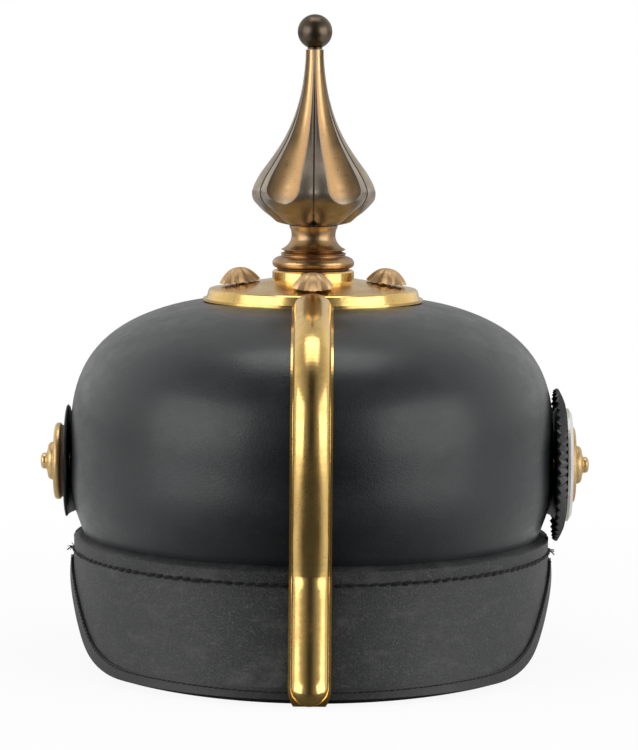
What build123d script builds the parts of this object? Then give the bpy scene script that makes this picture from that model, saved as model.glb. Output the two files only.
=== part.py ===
from build123d import *
import os
from math import atan2, cos, degrees, hypot, radians, sin, sqrt

# Spiked dress helmet of black leather with gilt brass fittings, as it stands on a table.
# Millimetres. +X is the wearer's right, +Y the front, +Z up.
# The origin is on the spike's axis, in the plane that the helmet stands on.

# Skull, a leather shell
SKULL_HALF_WIDTH = 95.3
SKULL_HALF_LENGTH = 109.5
SKULL_WALL = 3.0
BULGE_HEIGHT = 80.0
SEAT_HEIGHT = 139.4
CROWN_HEIGHT = SEAT_HEIGHT + 1.6
RIM_HEIGHT = 38.0
TUCK_HEIGHT = 46.0
TUCK_INSET = 3.9
DOME_POWER = 3
TURN_SHARES = (0.12, 0.24, 0.36, 0.5, 0.63, 0.74)
LEATHER_GAP = 0.15
HOLE_GAP = 0.15

# Visors, each a flange round the skull with a flaring brim below
VISOR_LEATHER = 2.0
FLANGE_TOP_HEIGHT = 46.5
FLANGE_FOOT_HEIGHT = 41.0
FLANGE_HALF_WIDTH = 93.7
FLANGE_HALF_LENGTH = 107.4
REAR_BRIM_HALF_WIDTH = 98.0
REAR_BRIM_REACH = 131.0
REAR_END_REACH = 0.5
REAR_EDGE_SHARES = ((0.04, 1.0), (0.21, 0.69), (0.38, 0.40), (0.50, 0.21), (0.61, 0.115))
REAR_FLOOR_SHARES = (0.74, 0.085)
FRONT_BRIM_HALF_WIDTH = 100.0
FRONT_BRIM_REACH = 150.0
FRONT_END_REACH = 3.5
FRONT_EDGE_SHARES = ((0.06, 1.0), (0.2, 0.78), (0.4, 0.51), (0.58, 0.28), (0.7, 0.15))
FRONT_FLOOR_SHARES = (0.82, 0.08)
EDGE_SLOPE = 30.0
BINDING_LEATHER = 0.7
BINDING_WIDTH = 3.7
TRIM_BRASS = 0.8
TRIM_WIDTH = 5.0
UNDERLAY_LEATHER = 0.6

# Rear spine, a hollow bead on a strip, with a foot hooked under the rear visor
SPINE_HALF_WIDTH = 7.8
SPINE_BRASS = 0.9
BEAD_HALF_WIDTH = 6.9
BEAD_HEIGHT = 5.4
SPINE_GAP = 0.35
SPINE_WAIST_HEIGHT = 67.0
SPINE_KNEE_SHARE = 0.8
SPINE_HEIGHT_SHARES = (0.94, 0.86, 0.72, 0.54, 0.34)
HOOK_HALF_WIDTH = 5.5
HOOK_LENGTH = 15.0
HOOK_BRASS = 0.8
SPINE_POST_HEIGHTS = (84.0, 100.0)
SPINE_POST_RADIUS = 1.5
SPINE_POST_LENGTH = 13.5

# Base disc with its collar, socket and screws, and the nuts inside the crown
DISC_BRASS = 0.9
DISC_RADIUS = 43.3
DISC_ARRIS_RADIUS = 41.1
DISC_ARRIS_HEIGHT = SEAT_HEIGHT + 4.6
DISC_TOP_RADIUS = 18.5
DISC_TOP_HEIGHT = DISC_ARRIS_HEIGHT + 3.6
COLLAR_RADIUS = 16.1
COLLAR_TOP_HEIGHT = DISC_TOP_HEIGHT + 3.8
COLLAR_CHAMFER = 0.6
BUSH_RADIUS = 7.0
BUSH_FOOT_HEIGHT = SEAT_HEIGHT - 9.0
BUSH_NUT_HALF_WIDTH = 10.5
BUSH_NUT_THICKNESS = 3.2
PLATE_RADIUS = 36.0
PLATE_THICKNESS = 0.8
SCREW_COUNT = 4
SCREW_CIRCLE_RADIUS = 28.9
SCREW_HEAD_RADIUS = 7.7
SCREW_HEAD_HEIGHT = 5.4
SCREW_HEAD_BRASS = 0.8
SCREW_PETALS = 8
SCREW_NOTCH_RADIUS = 1.0
SCREW_HEM_HEIGHT = DISC_TOP_HEIGHT - 0.3
SCREW_ARCH_SHARES = (0.72, 0.62)
SCREW_POST_RADIUS = 1.6
SCREW_POST_FOOT_HEIGHT = SEAT_HEIGHT - 7.8
NUT_HALF_WIDTH = 3.2
NUT_THICKNESS = 2.4
NUT_SPREAD_SHARE = 1.2

# Spike: washer, turned neck, fluted bulb, ball finial and tie rod
STUD_RADIUS = 4.0
STUD_GAP = 0.05
STUD_FOOT_HEIGHT = SEAT_HEIGHT - 2.4
WASHER_RADIUS = 14.2
WASHER_THICKNESS = 0.6
BODY_GAP = 0.3
NECK_FOOT_HEIGHT = COLLAR_TOP_HEIGHT + 2 * BODY_GAP + WASHER_THICKNESS
STUD_HEAD_HEIGHT = NECK_FOOT_HEIGHT + 5.4
TORUS_RADIUS = 15.9
NECK_FOOT_RADIUS = 14.3
TORUS_HEIGHT = NECK_FOOT_HEIGHT + 1.6
TORUS_TOP_RADIUS = 13.0
TORUS_TOP_HEIGHT = NECK_FOOT_HEIGHT + 4.2
RING_RADIUS = 12.2
RING_FOOT_HEIGHT = NECK_FOOT_HEIGHT + 5.7
RING_TOP_HEIGHT = NECK_FOOT_HEIGHT + 7.3
WAIST_RADIUS = 8.6
WAIST_HEIGHT = NECK_FOOT_HEIGHT + 12.0
NECK_TOP_RADIUS = 9.6
NECK_TOP_HEIGHT = NECK_FOOT_HEIGHT + 16.3
ROD_RADIUS = 2.0
ROD_GAP = 0.15
BULB_RADIUS = 25.2
BULB_BELLY_HEIGHT = NECK_TOP_HEIGHT + 14.1
BULB_TOP_RADIUS = 3.7
BULB_TOP_HEIGHT = BULB_BELLY_HEIGHT + 54.9
BULB_UNDER_SHARES = ((0.52, 0.06), (0.71, 0.21), (0.85, 0.45), (0.95, 0.72))
BULB_UPPER_SHARES = (
    (0.85, 0.13),
    (0.66, 0.245),
    (0.5, 0.36),
    (0.375, 0.475),
    (0.29, 0.585),
    (0.22, 0.7),
    (0.175, 0.83),
)
CAVITY_SHARES = ((0.4, 0.1), (0.6, 0.2), (0.56, 0.27), (0.38, 0.42), (0.17, 0.6))
PETAL_COUNT = 6
FLUTE_FOOT_SHARE = 0.045
FLUTE_ROUND_TURNS = (80, 55, 28, 0)
FLUTE_RADIUS_SHARE = 0.37
FLUTE_CENTRE_SHARE = 1.2
FLUTE_TOP_SHARE = 1.05
VALLEY_WIDTH = 0.9
VALLEY_DEPTH = 0.5
BALL_RADIUS = 6.8
BALL_HEIGHT = BULB_TOP_HEIGHT + 7.0
BALL_STEM_RADIUS = 2.9

# Rosettes, and what they hold against the skull
ROSETTE_HEIGHT = 75.0
ROSETTE_RADIUS = 14.3
ROSETTE_DISC = 2.7
ROSETTE_BOSS_RADIUS = 7.0
ROSETTE_BOSS_PROUD = 5.6
ROSETTE_KNOB_RADIUS = 2.8
ROSETTE_PROUD = 7.8
ROSETTE_POST_RADIUS = 2.0
ROSETTE_POST_INSIDE = 5.4
ROSETTE_WASHER_RADIUS = 6.0
ROSETTE_WASHER_THICKNESS = 0.8
ROSETTE_WASHER_GAP = 0.75
SPACER_RADIUS = 14.2
SPACER_LEATHER = 1.3
COCKADE_RADIUS = 29.8
COCKADE_HUB_RADIUS = 22.5
COCKADE_SHEET = 0.9
COCKADE_DISH = 3.4
COCKADE_TEETH = 48
COCKADE_TOOTH_RADIUS = 0.9
COCKADE_BOSS_RADIUS = 12.0
COCKADE_BOSS_LENGTH = 1.8
COCKADE_RING_RADIUS = 22.3
COCKADE_RING_INNER_RADIUS = 16.4
COCKADE_RING_SHEET = 1.0
COCKADE_RING_RISE = 1.2

# Chin strap, stored above the front visor
STRAP_LEATHER = 1.5
STRAP_HALF_WIDTH = 8.5
STRAP_FRONT_REACH = 117.5
STRAP_FRONT_HEIGHT = 43.0
STRAP_TAPER_SHARE = 0.5
STRAP_LAP_RISE = 3.2
STRAP_LAP_HALF_WIDTH = 40.0
LUG_RADIUS = 22.5
LUG_SHOULDER_SHARES = (0.3, 0.95)
LUG_GAP = 0.4
EYELET_RADIUS = 3.4
EYELET_GAP = 0.06
SLIDE_HALF_WIDTH = 3.5
SLIDE_BRASS = 1.0
SLIDE_PLACE = 30.0

# Sweatband and lining
BAND_LEATHER = 1.0
BAND_FOOT_HEIGHT = 38.5
BAND_TOP_HEIGHT = 66.0
BAND_TOP_INSET = 6.0
LINING_CLOTH = 0.7
LINING_FOOT_HEIGHT = 62.0
LINING_TOP_HEIGHT = SEAT_HEIGHT - 14.4
LINING_MOUTH_RADIUS = 26.0
LINING_SHARES = ((1.0, 0.0), (0.99, 0.28), (0.93, 0.58), (0.78, 0.83), (0.5, 0.96), (0.1, 1.0))

# Overrun of every cut, and the far side of every cutting block
OVERRUN = 4.0
FAR = 320.0

LENGTH_SHARE = SKULL_HALF_LENGTH / SKULL_HALF_WIDTH
BRIM_DROP = FLANGE_FOOT_HEIGHT + OVERRUN
DOME_RISE = CROWN_HEIGHT - BULGE_HEIGHT


# Blocks for trimming
def above(height):
    """Everything above a height."""
    return Pos(0, 0, height + FAR / 2) * Box(2 * FAR, 2 * FAR, FAR)


def below(height):
    """Everything below a height."""
    return Pos(0, 0, height - FAR / 2) * Box(2 * FAR, 2 * FAR, FAR)


def side_block(outline):
    """A block that spans the whole width and has a closed outline in side view."""
    return extrude(Plane.YZ * make_face(outline), amount=FAR, both=True)


# Shapes that several pieces share
def turned(*corners):
    """A solid turned about the vertical axis from straight (radius, height) corners."""
    return revolve(Plane.XZ * make_face(Polyline(*corners, close=True)), Axis.Z)


def oval_solid(points, ruled=False):
    """A filled solid through ovals, from (half width, height) pairs in rising order."""
    ovals = [Pos(0, 0, height) * Ellipse(wide, wide * LENGTH_SHARE) for wide, height in points]
    return loft(ovals, ruled=ruled)


def hexagon_nut(half_width, thickness, bore_radius, top_height):
    """A hexagonal nut on the vertical axis, with its top at a height."""
    blank = extrude(RegularPolygon(half_width, 6, major_radius=False), amount=-thickness)
    return Pos(0, 0, top_height) * (blank - Cylinder(bore_radius, 3 * thickness))


def around_spike(piece, count):
    """Copies of a piece spaced evenly about the vertical axis, the first one to the front."""
    placed = Pos(0, SCREW_CIRCLE_RADIUS, 0) * piece
    return [Rot(0, 0, 360 * index / count) * placed for index in range(count)]


def upright(piece, side):
    """A piece drawn along +Z from the skull's middle, laid along a side's rosette axis."""
    return Pos(0, 0, ROSETTE_HEIGHT) * Rot(0, 90 * side, 0) * piece


# Skull
def tuck(height):
    """How far the skull has drawn in at a height below its bulge."""
    return TUCK_INSET * ((BULGE_HEIGHT - height) / (BULGE_HEIGHT - TUCK_HEIGHT)) ** 2


def dome_radius(height, inset):
    """Half width of the skull's dome at a height, for a surface inset from the outer one."""
    rise_share = (height - BULGE_HEIGHT) / (DOME_RISE - inset)
    return (SKULL_HALF_WIDTH - inset) * (1 - rise_share**DOME_POWER) ** (1 / DOME_POWER)


def skull_points(inset):
    """The skull's half widths and heights from rim to crown, for a surface inset from the outer one."""
    middle = (BULGE_HEIGHT + RIM_HEIGHT) / 2
    low = [(SKULL_HALF_WIDTH - inset - tuck(height), height) for height in (RIM_HEIGHT, middle)]
    bulge = (SKULL_HALF_WIDTH - inset, BULGE_HEIGHT)
    curve_share = 2 / DOME_POWER
    dome = [
        (
            (SKULL_HALF_WIDTH - inset) * cos(radians(90 * share)) ** curve_share,
            BULGE_HEIGHT + (DOME_RISE - inset) * sin(radians(90 * share)) ** curve_share,
        )
        for share in TURN_SHARES
    ]
    flat = SEAT_HEIGHT - inset
    return [*low, bulge, *dome, (dome_radius(flat, inset), flat)]


def make_skull():
    """Leather skull with holes for the socket, the screws, the spine and the rosettes."""
    inner = skull_points(SKULL_WALL)
    below_rim = (inner[0][0] - tuck(RIM_HEIGHT) / 2, RIM_HEIGHT - OVERRUN)
    skull = oval_solid(skull_points(0)) - oval_solid([below_rim, *inner])
    deep = 4 * SKULL_WALL
    crown = Pos(0, 0, SEAT_HEIGHT)
    holes = [crown * Cylinder(BUSH_RADIUS + HOLE_GAP, deep)]
    holes += around_spike(crown * Cylinder(SCREW_POST_RADIUS + HOLE_GAP, deep), SCREW_COUNT)
    side = Pos(0, 0, SKULL_HALF_WIDTH) * Cylinder(ROSETTE_POST_RADIUS + HOLE_GAP, deep)
    holes += [upright(side, -1), upright(side, 1)]
    holes += [spine_post(height, SPINE_POST_RADIUS + HOLE_GAP, OVERRUN) for height in SPINE_POST_HEIGHTS]
    return skull - holes


# Visors
class Visor:
    """A visor's surface and its edge line, for the leather and all that is laid on it."""

    def __init__(self, side, half_width, reach, end_reach, edge_shares, floor_shares):
        """side is 1 for the front and -1 for the rear."""
        self.side = side
        self.half_width = half_width
        self.reach = reach
        self.end_reach = end_reach
        self.edge = [(share_y * reach, share_z * FLANGE_FOOT_HEIGHT) for share_y, share_z in edge_shares]
        self.floor = (floor_shares[0] * reach, floor_shares[1] * FLANGE_FOOT_HEIGHT)
        self.run = (reach - FLANGE_HALF_LENGTH) / FLANGE_FOOT_HEIGHT
        self.flare = (half_width - FLANGE_HALF_WIDTH) / FLANGE_FOOT_HEIGHT

    def surface(self, gap):
        """The brim's ruled surface, moved outwards by a gap."""
        wide_gap = gap * hypot(1, self.flare)
        long_gap = gap * hypot(1, self.run)
        start = 0 if self.side > 0 else 180
        top = (FLANGE_HALF_WIDTH + wide_gap, FLANGE_HALF_LENGTH + long_gap)
        foot = (top[0] + self.flare * BRIM_DROP, top[1] + self.run * BRIM_DROP)
        root = EllipticalCenterArc((0, 0), *top, start_angle=start, arc_size=180)
        hem = EllipticalCenterArc((0, 0), *foot, start_angle=start, arc_size=180)
        root_edge = (Pos(0, 0, FLANGE_FOOT_HEIGHT) * root).edge()
        hem_edge = (Pos(0, 0, -OVERRUN) * hem).edge()
        return Face.make_surface_from_curves(root_edge, hem_edge)

    def block(self, inset):
        """What lies inside the edge line, moved inwards by an inset."""
        side = self.side
        points = [(side * reach, height) for reach, height in [*self.edge, self.floor]]
        curve = Spline(*points, tangents=[(side, -1), (side, 0)])
        floor = points[-1][1]
        start = (side * self.end_reach, FLANGE_FOOT_HEIGHT + OVERRUN / 2)
        corner = (side * self.edge[0][0] / 2, FLANGE_FOOT_HEIGHT)
        far = [(side * FAR, floor), (side * FAR, start[1]), start, corner]
        outline = curve + Polyline(points[-1], *far, points[0])
        slope = radians(EDGE_SLOPE)
        return Pos(0, side * sin(slope) * inset, cos(slope) * inset) * side_block(outline)

    def sheet(self, gap, thickness, keep, cuts=()):
        """A sheet whose outer face is moved outwards by a gap, trimmed in side view."""
        face = self.surface(gap) & keep
        for cut in cuts:
            face = face - cut
        face = face.face()
        middle = face.position_at(0.5, 0.5)
        outwards = face.normal_at(middle).dot(Vector(middle.X, middle.Y, 0)) > 0
        return Solid.thicken(face, -thickness if outwards else thickness)

    def leather(self):
        """The visor's leather: brim and flange."""
        brim = self.sheet(0, VISOR_LEATHER, self.block(0))
        outer = Ellipse(FLANGE_HALF_WIDTH, FLANGE_HALF_LENGTH)
        inner = Ellipse(FLANGE_HALF_WIDTH - VISOR_LEATHER, FLANGE_HALF_LENGTH - VISOR_LEATHER)
        foot = FLANGE_FOOT_HEIGHT - VISOR_LEATHER
        band = extrude(outer - inner, amount=FLANGE_TOP_HEIGHT - foot)
        half = Pos(0, self.side * (self.end_reach + FAR / 2), 0) * Box(2 * FAR, FAR, FAR)
        return brim + (Pos(0, 0, foot) * band & half)

    def channel(self, wall, width):
        """A strip folded round the edge, a U in section."""
        skin = wall + LEATHER_GAP
        top = above(FLANGE_FOOT_HEIGHT - VISOR_LEATHER - 2 * LEATHER_GAP)
        wrap = self.sheet(skin, VISOR_LEATHER + 2 * skin, self.block(-skin), (self.block(width), top))
        core = self.sheet(LEATHER_GAP, VISOR_LEATHER + 2 * LEATHER_GAP, self.block(-LEATHER_GAP))
        return wrap - core

    def underlay(self, strip_width):
        """Thin leather beneath the brim, from the rim down to the strip round the edge."""
        keep = self.block(strip_width + LEATHER_GAP)
        top = above(RIM_HEIGHT - 2 * UNDERLAY_LEATHER)
        return self.sheet(-VISOR_LEATHER - LEATHER_GAP, UNDERLAY_LEATHER, keep, (top,))


REAR_VISOR = Visor(
    -1, REAR_BRIM_HALF_WIDTH, REAR_BRIM_REACH, REAR_END_REACH, REAR_EDGE_SHARES, REAR_FLOOR_SHARES
)
FRONT_VISOR = Visor(
    1, FRONT_BRIM_HALF_WIDTH, FRONT_BRIM_REACH, FRONT_END_REACH, FRONT_EDGE_SHARES, FRONT_FLOOR_SHARES
)


# Rear spine
def skull_reach(height):
    """How far back the skull's middle line lies at a height above its bulge."""
    rise_share = (height - BULGE_HEIGHT) / DOME_RISE
    return SKULL_HALF_LENGTH * (1 - rise_share**DOME_POWER) ** (1 / DOME_POWER)


def spine_nose():
    """How far back the spine's nose ends, short of the disc's bevel."""
    return DISC_ARRIS_RADIUS + DISC_BRASS + SPINE_GAP


def spine_path():
    """The underside of the spine's strip in side view, from its nose down to its foot."""
    nose = (-spine_nose(), SEAT_HEIGHT + DISC_BRASS + SPINE_GAP)
    lip = (-DISC_RADIUS - 5 * DISC_BRASS, SEAT_HEIGHT + DISC_BRASS)
    heights = [BULGE_HEIGHT + DOME_RISE * share for share in SPINE_HEIGHT_SHARES]
    back = [(-skull_reach(height) - SPINE_GAP, height + SPINE_GAP) for height in heights]
    bulge = (-SKULL_HALF_LENGTH - SPINE_GAP, BULGE_HEIGHT)
    waist_reach = SKULL_HALF_LENGTH - LENGTH_SHARE * tuck(SPINE_WAIST_HEIGHT) + SPINE_GAP
    waist = (-waist_reach, SPINE_WAIST_HEIGHT)
    flange = (-FLANGE_HALF_LENGTH - 2 * SPINE_GAP, FLANGE_TOP_HEIGHT)
    run = REAR_VISOR.run
    standoff = (BINDING_LEATHER + LEATHER_GAP + SPINE_GAP) * hypot(1, run)
    knee_height = FLANGE_FOOT_HEIGHT * SPINE_KNEE_SHARE
    knee = (-FLANGE_HALF_LENGTH - (FLANGE_FOOT_HEIGHT - knee_height) * run - standoff, knee_height)
    foot = (-REAR_BRIM_REACH - OVERRUN * run - standoff, -OVERRUN)
    slope = (foot[0] - knee[0], foot[1] - knee[1])
    curve = Spline(nose, lip, *back, bulge, waist, flange, knee, tangents=[(-1, 0), slope])
    return Plane.YZ * (curve + Line(knee, foot))


def spine_post(height, radius, extra):
    """A level post behind the skull's wall, longer at both ends by an extra length."""
    reach = skull_reach(height) + SPINE_GAP + BEAD_HEIGHT - SPINE_BRASS / 2 + extra
    length = SPINE_POST_LENGTH + 2 * extra
    return Pos(0, length / 2 - reach, height) * Rot(90, 0, 0) * Cylinder(radius, length)


def make_rear_spine():
    """Brass spine: pressed bead on a strip, posts through the skull and a hooked foot."""
    path = spine_path()
    start = path @ 0
    section_plane = Plane(origin=start, x_dir=(1, 0, 0), z_dir=path % 0)
    bead = EllipticalCenterArc((0, SPINE_BRASS), BEAD_HALF_WIDTH, BEAD_HEIGHT - SPINE_BRASS, arc_size=180)
    hollow_width = BEAD_HALF_WIDTH - SPINE_BRASS
    hollow = EllipticalCenterArc((0, 0), hollow_width, BEAD_HEIGHT - SPINE_BRASS, arc_size=180)
    right = Polyline(
        (hollow_width, 0), (SPINE_HALF_WIDTH, 0), (SPINE_HALF_WIDTH, SPINE_BRASS), (BEAD_HALF_WIDTH, SPINE_BRASS)
    )
    section = make_face(bead + hollow + right + mirror(right, Plane.YZ))
    spine = sweep(section_plane * section, path) - below(0)
    corner_middle = -spine_nose() - SPINE_HALF_WIDTH
    corner = Pos(0, corner_middle) * Circle(SPINE_HALF_WIDTH)
    body = Pos(0, corner_middle - FAR / 2) * Rectangle(2 * SPINE_HALF_WIDTH, FAR)
    spine &= extrude(corner + body, amount=FAR)
    foot_reach = REAR_BRIM_REACH + SPINE_BRASS
    hook = Pos(0, HOOK_LENGTH / 2 - foot_reach - BEAD_HEIGHT, HOOK_BRASS / 2)
    spine += hook * Box(2 * HOOK_HALF_WIDTH, HOOK_LENGTH, HOOK_BRASS)
    posts = [spine_post(height, SPINE_POST_RADIUS, 0) for height in SPINE_POST_HEIGHTS]
    return spine + posts


def make_spine_nuts():
    """The nuts of the spine's posts, inside the skull."""
    nuts = []
    for height in SPINE_POST_HEIGHTS:
        reach = LENGTH_SHARE * dome_radius(height + NUT_SPREAD_SHARE * NUT_HALF_WIDTH, SKULL_WALL) - LEATHER_GAP
        nut = hexagon_nut(NUT_HALF_WIDTH, NUT_THICKNESS, SPINE_POST_RADIUS + HOLE_GAP, 0)
        nuts.append(Pos(0, -reach, height) * Rot(90, 0, 0) * nut)
    return nuts


# Base disc and what is screwed to the crown
def make_base_disc():
    """Brass base disc: flange, bevel and shallow cone, pressed from one sheet."""
    sheet = DISC_BRASS
    bore = BUSH_RADIUS + HOLE_GAP
    disc = turned(
        (DISC_RADIUS, SEAT_HEIGHT),
        (DISC_RADIUS, SEAT_HEIGHT + sheet),
        (DISC_ARRIS_RADIUS + sheet, SEAT_HEIGHT + sheet),
        (DISC_ARRIS_RADIUS, DISC_ARRIS_HEIGHT - sheet / 2),
        (DISC_ARRIS_RADIUS - sheet / 2, DISC_ARRIS_HEIGHT),
        (DISC_TOP_RADIUS, DISC_TOP_HEIGHT),
        (bore, DISC_TOP_HEIGHT),
        (bore, DISC_TOP_HEIGHT - sheet),
        (DISC_TOP_RADIUS, DISC_TOP_HEIGHT - sheet),
        (DISC_ARRIS_RADIUS - 2 * sheet, DISC_ARRIS_HEIGHT - sheet),
        (DISC_ARRIS_RADIUS - sheet, DISC_ARRIS_HEIGHT - 2 * sheet),
        (DISC_ARRIS_RADIUS, SEAT_HEIGHT),
    )
    hole = Pos(0, 0, DISC_TOP_HEIGHT) * Cylinder(SCREW_POST_RADIUS + HOLE_GAP, 2 * OVERRUN)
    return disc - around_spike(hole, SCREW_COUNT)


def make_base_collar():
    """Brass collar in the middle of the disc."""
    bore = BUSH_RADIUS + HOLE_GAP
    rim = COLLAR_RADIUS - COLLAR_CHAMFER
    return turned(
        (bore, DISC_TOP_HEIGHT),
        (COLLAR_RADIUS, DISC_TOP_HEIGHT),
        (COLLAR_RADIUS, COLLAR_TOP_HEIGHT - COLLAR_CHAMFER),
        (rim, COLLAR_TOP_HEIGHT),
        (bore, COLLAR_TOP_HEIGHT),
    )


def make_socket_bush():
    """Threaded bush that takes the spike's stud."""
    bore = STUD_RADIUS + STUD_GAP
    top = COLLAR_TOP_HEIGHT - BODY_GAP
    return turned((bore, BUSH_FOOT_HEIGHT), (BUSH_RADIUS, BUSH_FOOT_HEIGHT), (BUSH_RADIUS, top), (bore, top))


def make_crown_plate():
    """Steel plate under the crown, which spreads the pull of the screws."""
    top = SEAT_HEIGHT - SKULL_WALL
    plate = Pos(0, 0, top - PLATE_THICKNESS / 2) * Cylinder(PLATE_RADIUS, PLATE_THICKNESS)
    plate -= Pos(0, 0, top) * Cylinder(BUSH_RADIUS + HOLE_GAP, OVERRUN)
    hole = Pos(0, 0, top) * Cylinder(SCREW_POST_RADIUS + HOLE_GAP, OVERRUN)
    return plate - around_spike(hole, SCREW_COUNT)


def make_bush_nut():
    """Large hexagonal nut that pulls the bush down."""
    top = SEAT_HEIGHT - SKULL_WALL - PLATE_THICKNESS
    return hexagon_nut(BUSH_NUT_HALF_WIDTH, BUSH_NUT_THICKNESS, BUSH_RADIUS + HOLE_GAP, top)


def flower_screw():
    """A screw with a thin domed head, notched into petals."""
    hem = SCREW_HEM_HEIGHT
    crest = hem + SCREW_HEAD_HEIGHT
    wide, high = SCREW_ARCH_SHARES
    arch = (SCREW_HEAD_RADIUS * wide, hem + SCREW_HEAD_HEIGHT * high)
    inner_arch = (arch[0] - SCREW_HEAD_BRASS / 2, arch[1] - SCREW_HEAD_BRASS)
    outer = Spline((SCREW_HEAD_RADIUS, hem), arch, (0, crest), tangents=[(-1, 2), (-1, 0)])
    inner_rim = (SCREW_HEAD_RADIUS - SCREW_HEAD_BRASS, hem)
    inner = Spline(inner_rim, inner_arch, (0, crest - SCREW_HEAD_BRASS), tangents=[(-1, 2), (-1, 0)])
    ends = Line(outer @ 0, inner @ 0) + Line(outer @ 1, inner @ 1)
    head = revolve(Plane.XZ * make_face(outer + inner + ends), Axis.Z)
    notch = Cylinder(SCREW_NOTCH_RADIUS, 2 * SCREW_HEAD_BRASS)
    for index in range(SCREW_PETALS):
        turn = Rot(0, 0, 360 * (index + 0.5) / SCREW_PETALS)
        head -= turn * Pos(SCREW_HEAD_RADIUS, 0, hem) * notch
    length = crest - SCREW_HEAD_BRASS / 2 - SCREW_POST_FOOT_HEIGHT
    return head + Pos(0, 0, SCREW_POST_FOOT_HEIGHT + length / 2) * Cylinder(SCREW_POST_RADIUS, length)


def make_flower_screws():
    """The flower-headed screws of the base disc."""
    return around_spike(flower_screw(), SCREW_COUNT)


def make_flower_screw_nuts():
    """Their nuts, under the crown plate."""
    top = SEAT_HEIGHT - SKULL_WALL - PLATE_THICKNESS
    nut = hexagon_nut(NUT_HALF_WIDTH, NUT_THICKNESS, SCREW_POST_RADIUS + HOLE_GAP, top)
    return around_spike(nut, SCREW_COUNT)


# Spike
def make_seat_washer():
    """Thin leather washer between the collar and the spike's foot."""
    top = COLLAR_TOP_HEIGHT + BODY_GAP + WASHER_THICKNESS
    bore = STUD_RADIUS + 2 * HOLE_GAP
    foot = COLLAR_TOP_HEIGHT + BODY_GAP
    return turned((bore, foot), (WASHER_RADIUS, foot), (WASHER_RADIUS, top), (bore, top))


def make_spike_neck():
    """Turned brass neck: torus, cove, ring and waist, bored for the tie rod."""
    foot = NECK_FOOT_HEIGHT
    bore = ROD_RADIUS + ROD_GAP
    wide_bore = STUD_RADIUS + ROD_GAP
    step = STUD_HEAD_HEIGHT + ROD_GAP
    torus = ThreePointArc(
        (NECK_FOOT_RADIUS, foot), (TORUS_RADIUS, TORUS_HEIGHT), (TORUS_TOP_RADIUS, TORUS_TOP_HEIGHT)
    )
    cove_middle = (RING_RADIUS, (TORUS_TOP_HEIGHT + RING_FOOT_HEIGHT) / 2)
    cove = Polyline(torus @ 1, cove_middle, (RING_RADIUS, RING_TOP_HEIGHT))
    waist_top = (NECK_TOP_RADIUS, NECK_TOP_HEIGHT)
    shank = Spline(
        (RING_RADIUS - HOLE_GAP, RING_TOP_HEIGHT), (WAIST_RADIUS, WAIST_HEIGHT), waist_top, tangents=[(-1, 0), (1, 2)]
    )
    shelf = Line(cove @ 1, shank @ 0)
    core = Polyline(
        waist_top, (bore, NECK_TOP_HEIGHT), (bore, step), (wide_bore, step), (wide_bore, foot), (NECK_FOOT_RADIUS, foot)
    )
    return revolve(Plane.XZ * make_face(torus + cove + shelf + shank + core), Axis.Z)


def bulb_height(share):
    """Height at a share of the way from the bulb's belly to its top."""
    return BULB_BELLY_HEIGHT + (BULB_TOP_HEIGHT - BULB_BELLY_HEIGHT) * share


def bulb_foot():
    """Height of the bulb's lowest face, on the neck."""
    return NECK_TOP_HEIGHT + HOLE_GAP


def flute_cutter():
    """Teardrop cutter of one flute: round at the belly, tapering up the spike."""
    round_radius = BULB_RADIUS * FLUTE_RADIUS_SHARE
    circles = []
    for turn in FLUTE_ROUND_TURNS:
        height = bulb_height(FLUTE_FOOT_SHARE) - round_radius * sin(radians(turn))
        place = Pos(0, BULB_RADIUS * FLUTE_CENTRE_SHARE, height)
        circles.append(place * Circle(round_radius * cos(radians(turn))))
    top = (BULB_TOP_RADIUS / BULB_RADIUS, FLUTE_TOP_SHARE)
    for radius_share, height_share in [*BULB_UPPER_SHARES[1:], top]:
        radius = BULB_RADIUS * radius_share
        place = Pos(0, radius * FLUTE_CENTRE_SHARE, bulb_height(height_share))
        circles.append(place * Circle(radius * FLUTE_RADIUS_SHARE))
    return loft(circles)


def bulb_line(inset):
    """The bulb's side line from foot to tip, moved towards the axis by an inset."""
    under_height = BULB_BELLY_HEIGHT - bulb_foot()
    under = [(BULB_RADIUS * wide, bulb_foot() + under_height * up) for wide, up in BULB_UNDER_SHARES]
    upper = [(BULB_RADIUS * wide, bulb_height(up)) for wide, up in BULB_UPPER_SHARES]
    foot = (NECK_TOP_RADIUS, bulb_foot())
    top = (BULB_TOP_RADIUS, BULB_TOP_HEIGHT)
    belly = (BULB_RADIUS, BULB_BELLY_HEIGHT)
    points = [(radius - inset, height) for radius, height in (foot, *under, belly, *upper, top)]
    return Spline(*points, tangents=[(1, 0.4), (0, 1)])


def valley_cutter():
    """Thin blade that scores the line between two petals."""
    line = bulb_line(VALLEY_DEPTH)
    wide = 2 * BULB_RADIUS
    low, high = line @ 0, line @ 1
    roof = high.Y + OVERRUN
    floor = low.Y - OVERRUN
    back = Polyline((high.X, high.Y), (high.X, roof), (wide, roof), (wide, floor), (low.X, floor), (low.X, low.Y))
    return extrude(Plane.YZ * make_face(line + back), amount=VALLEY_WIDTH / 2, both=True)


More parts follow.
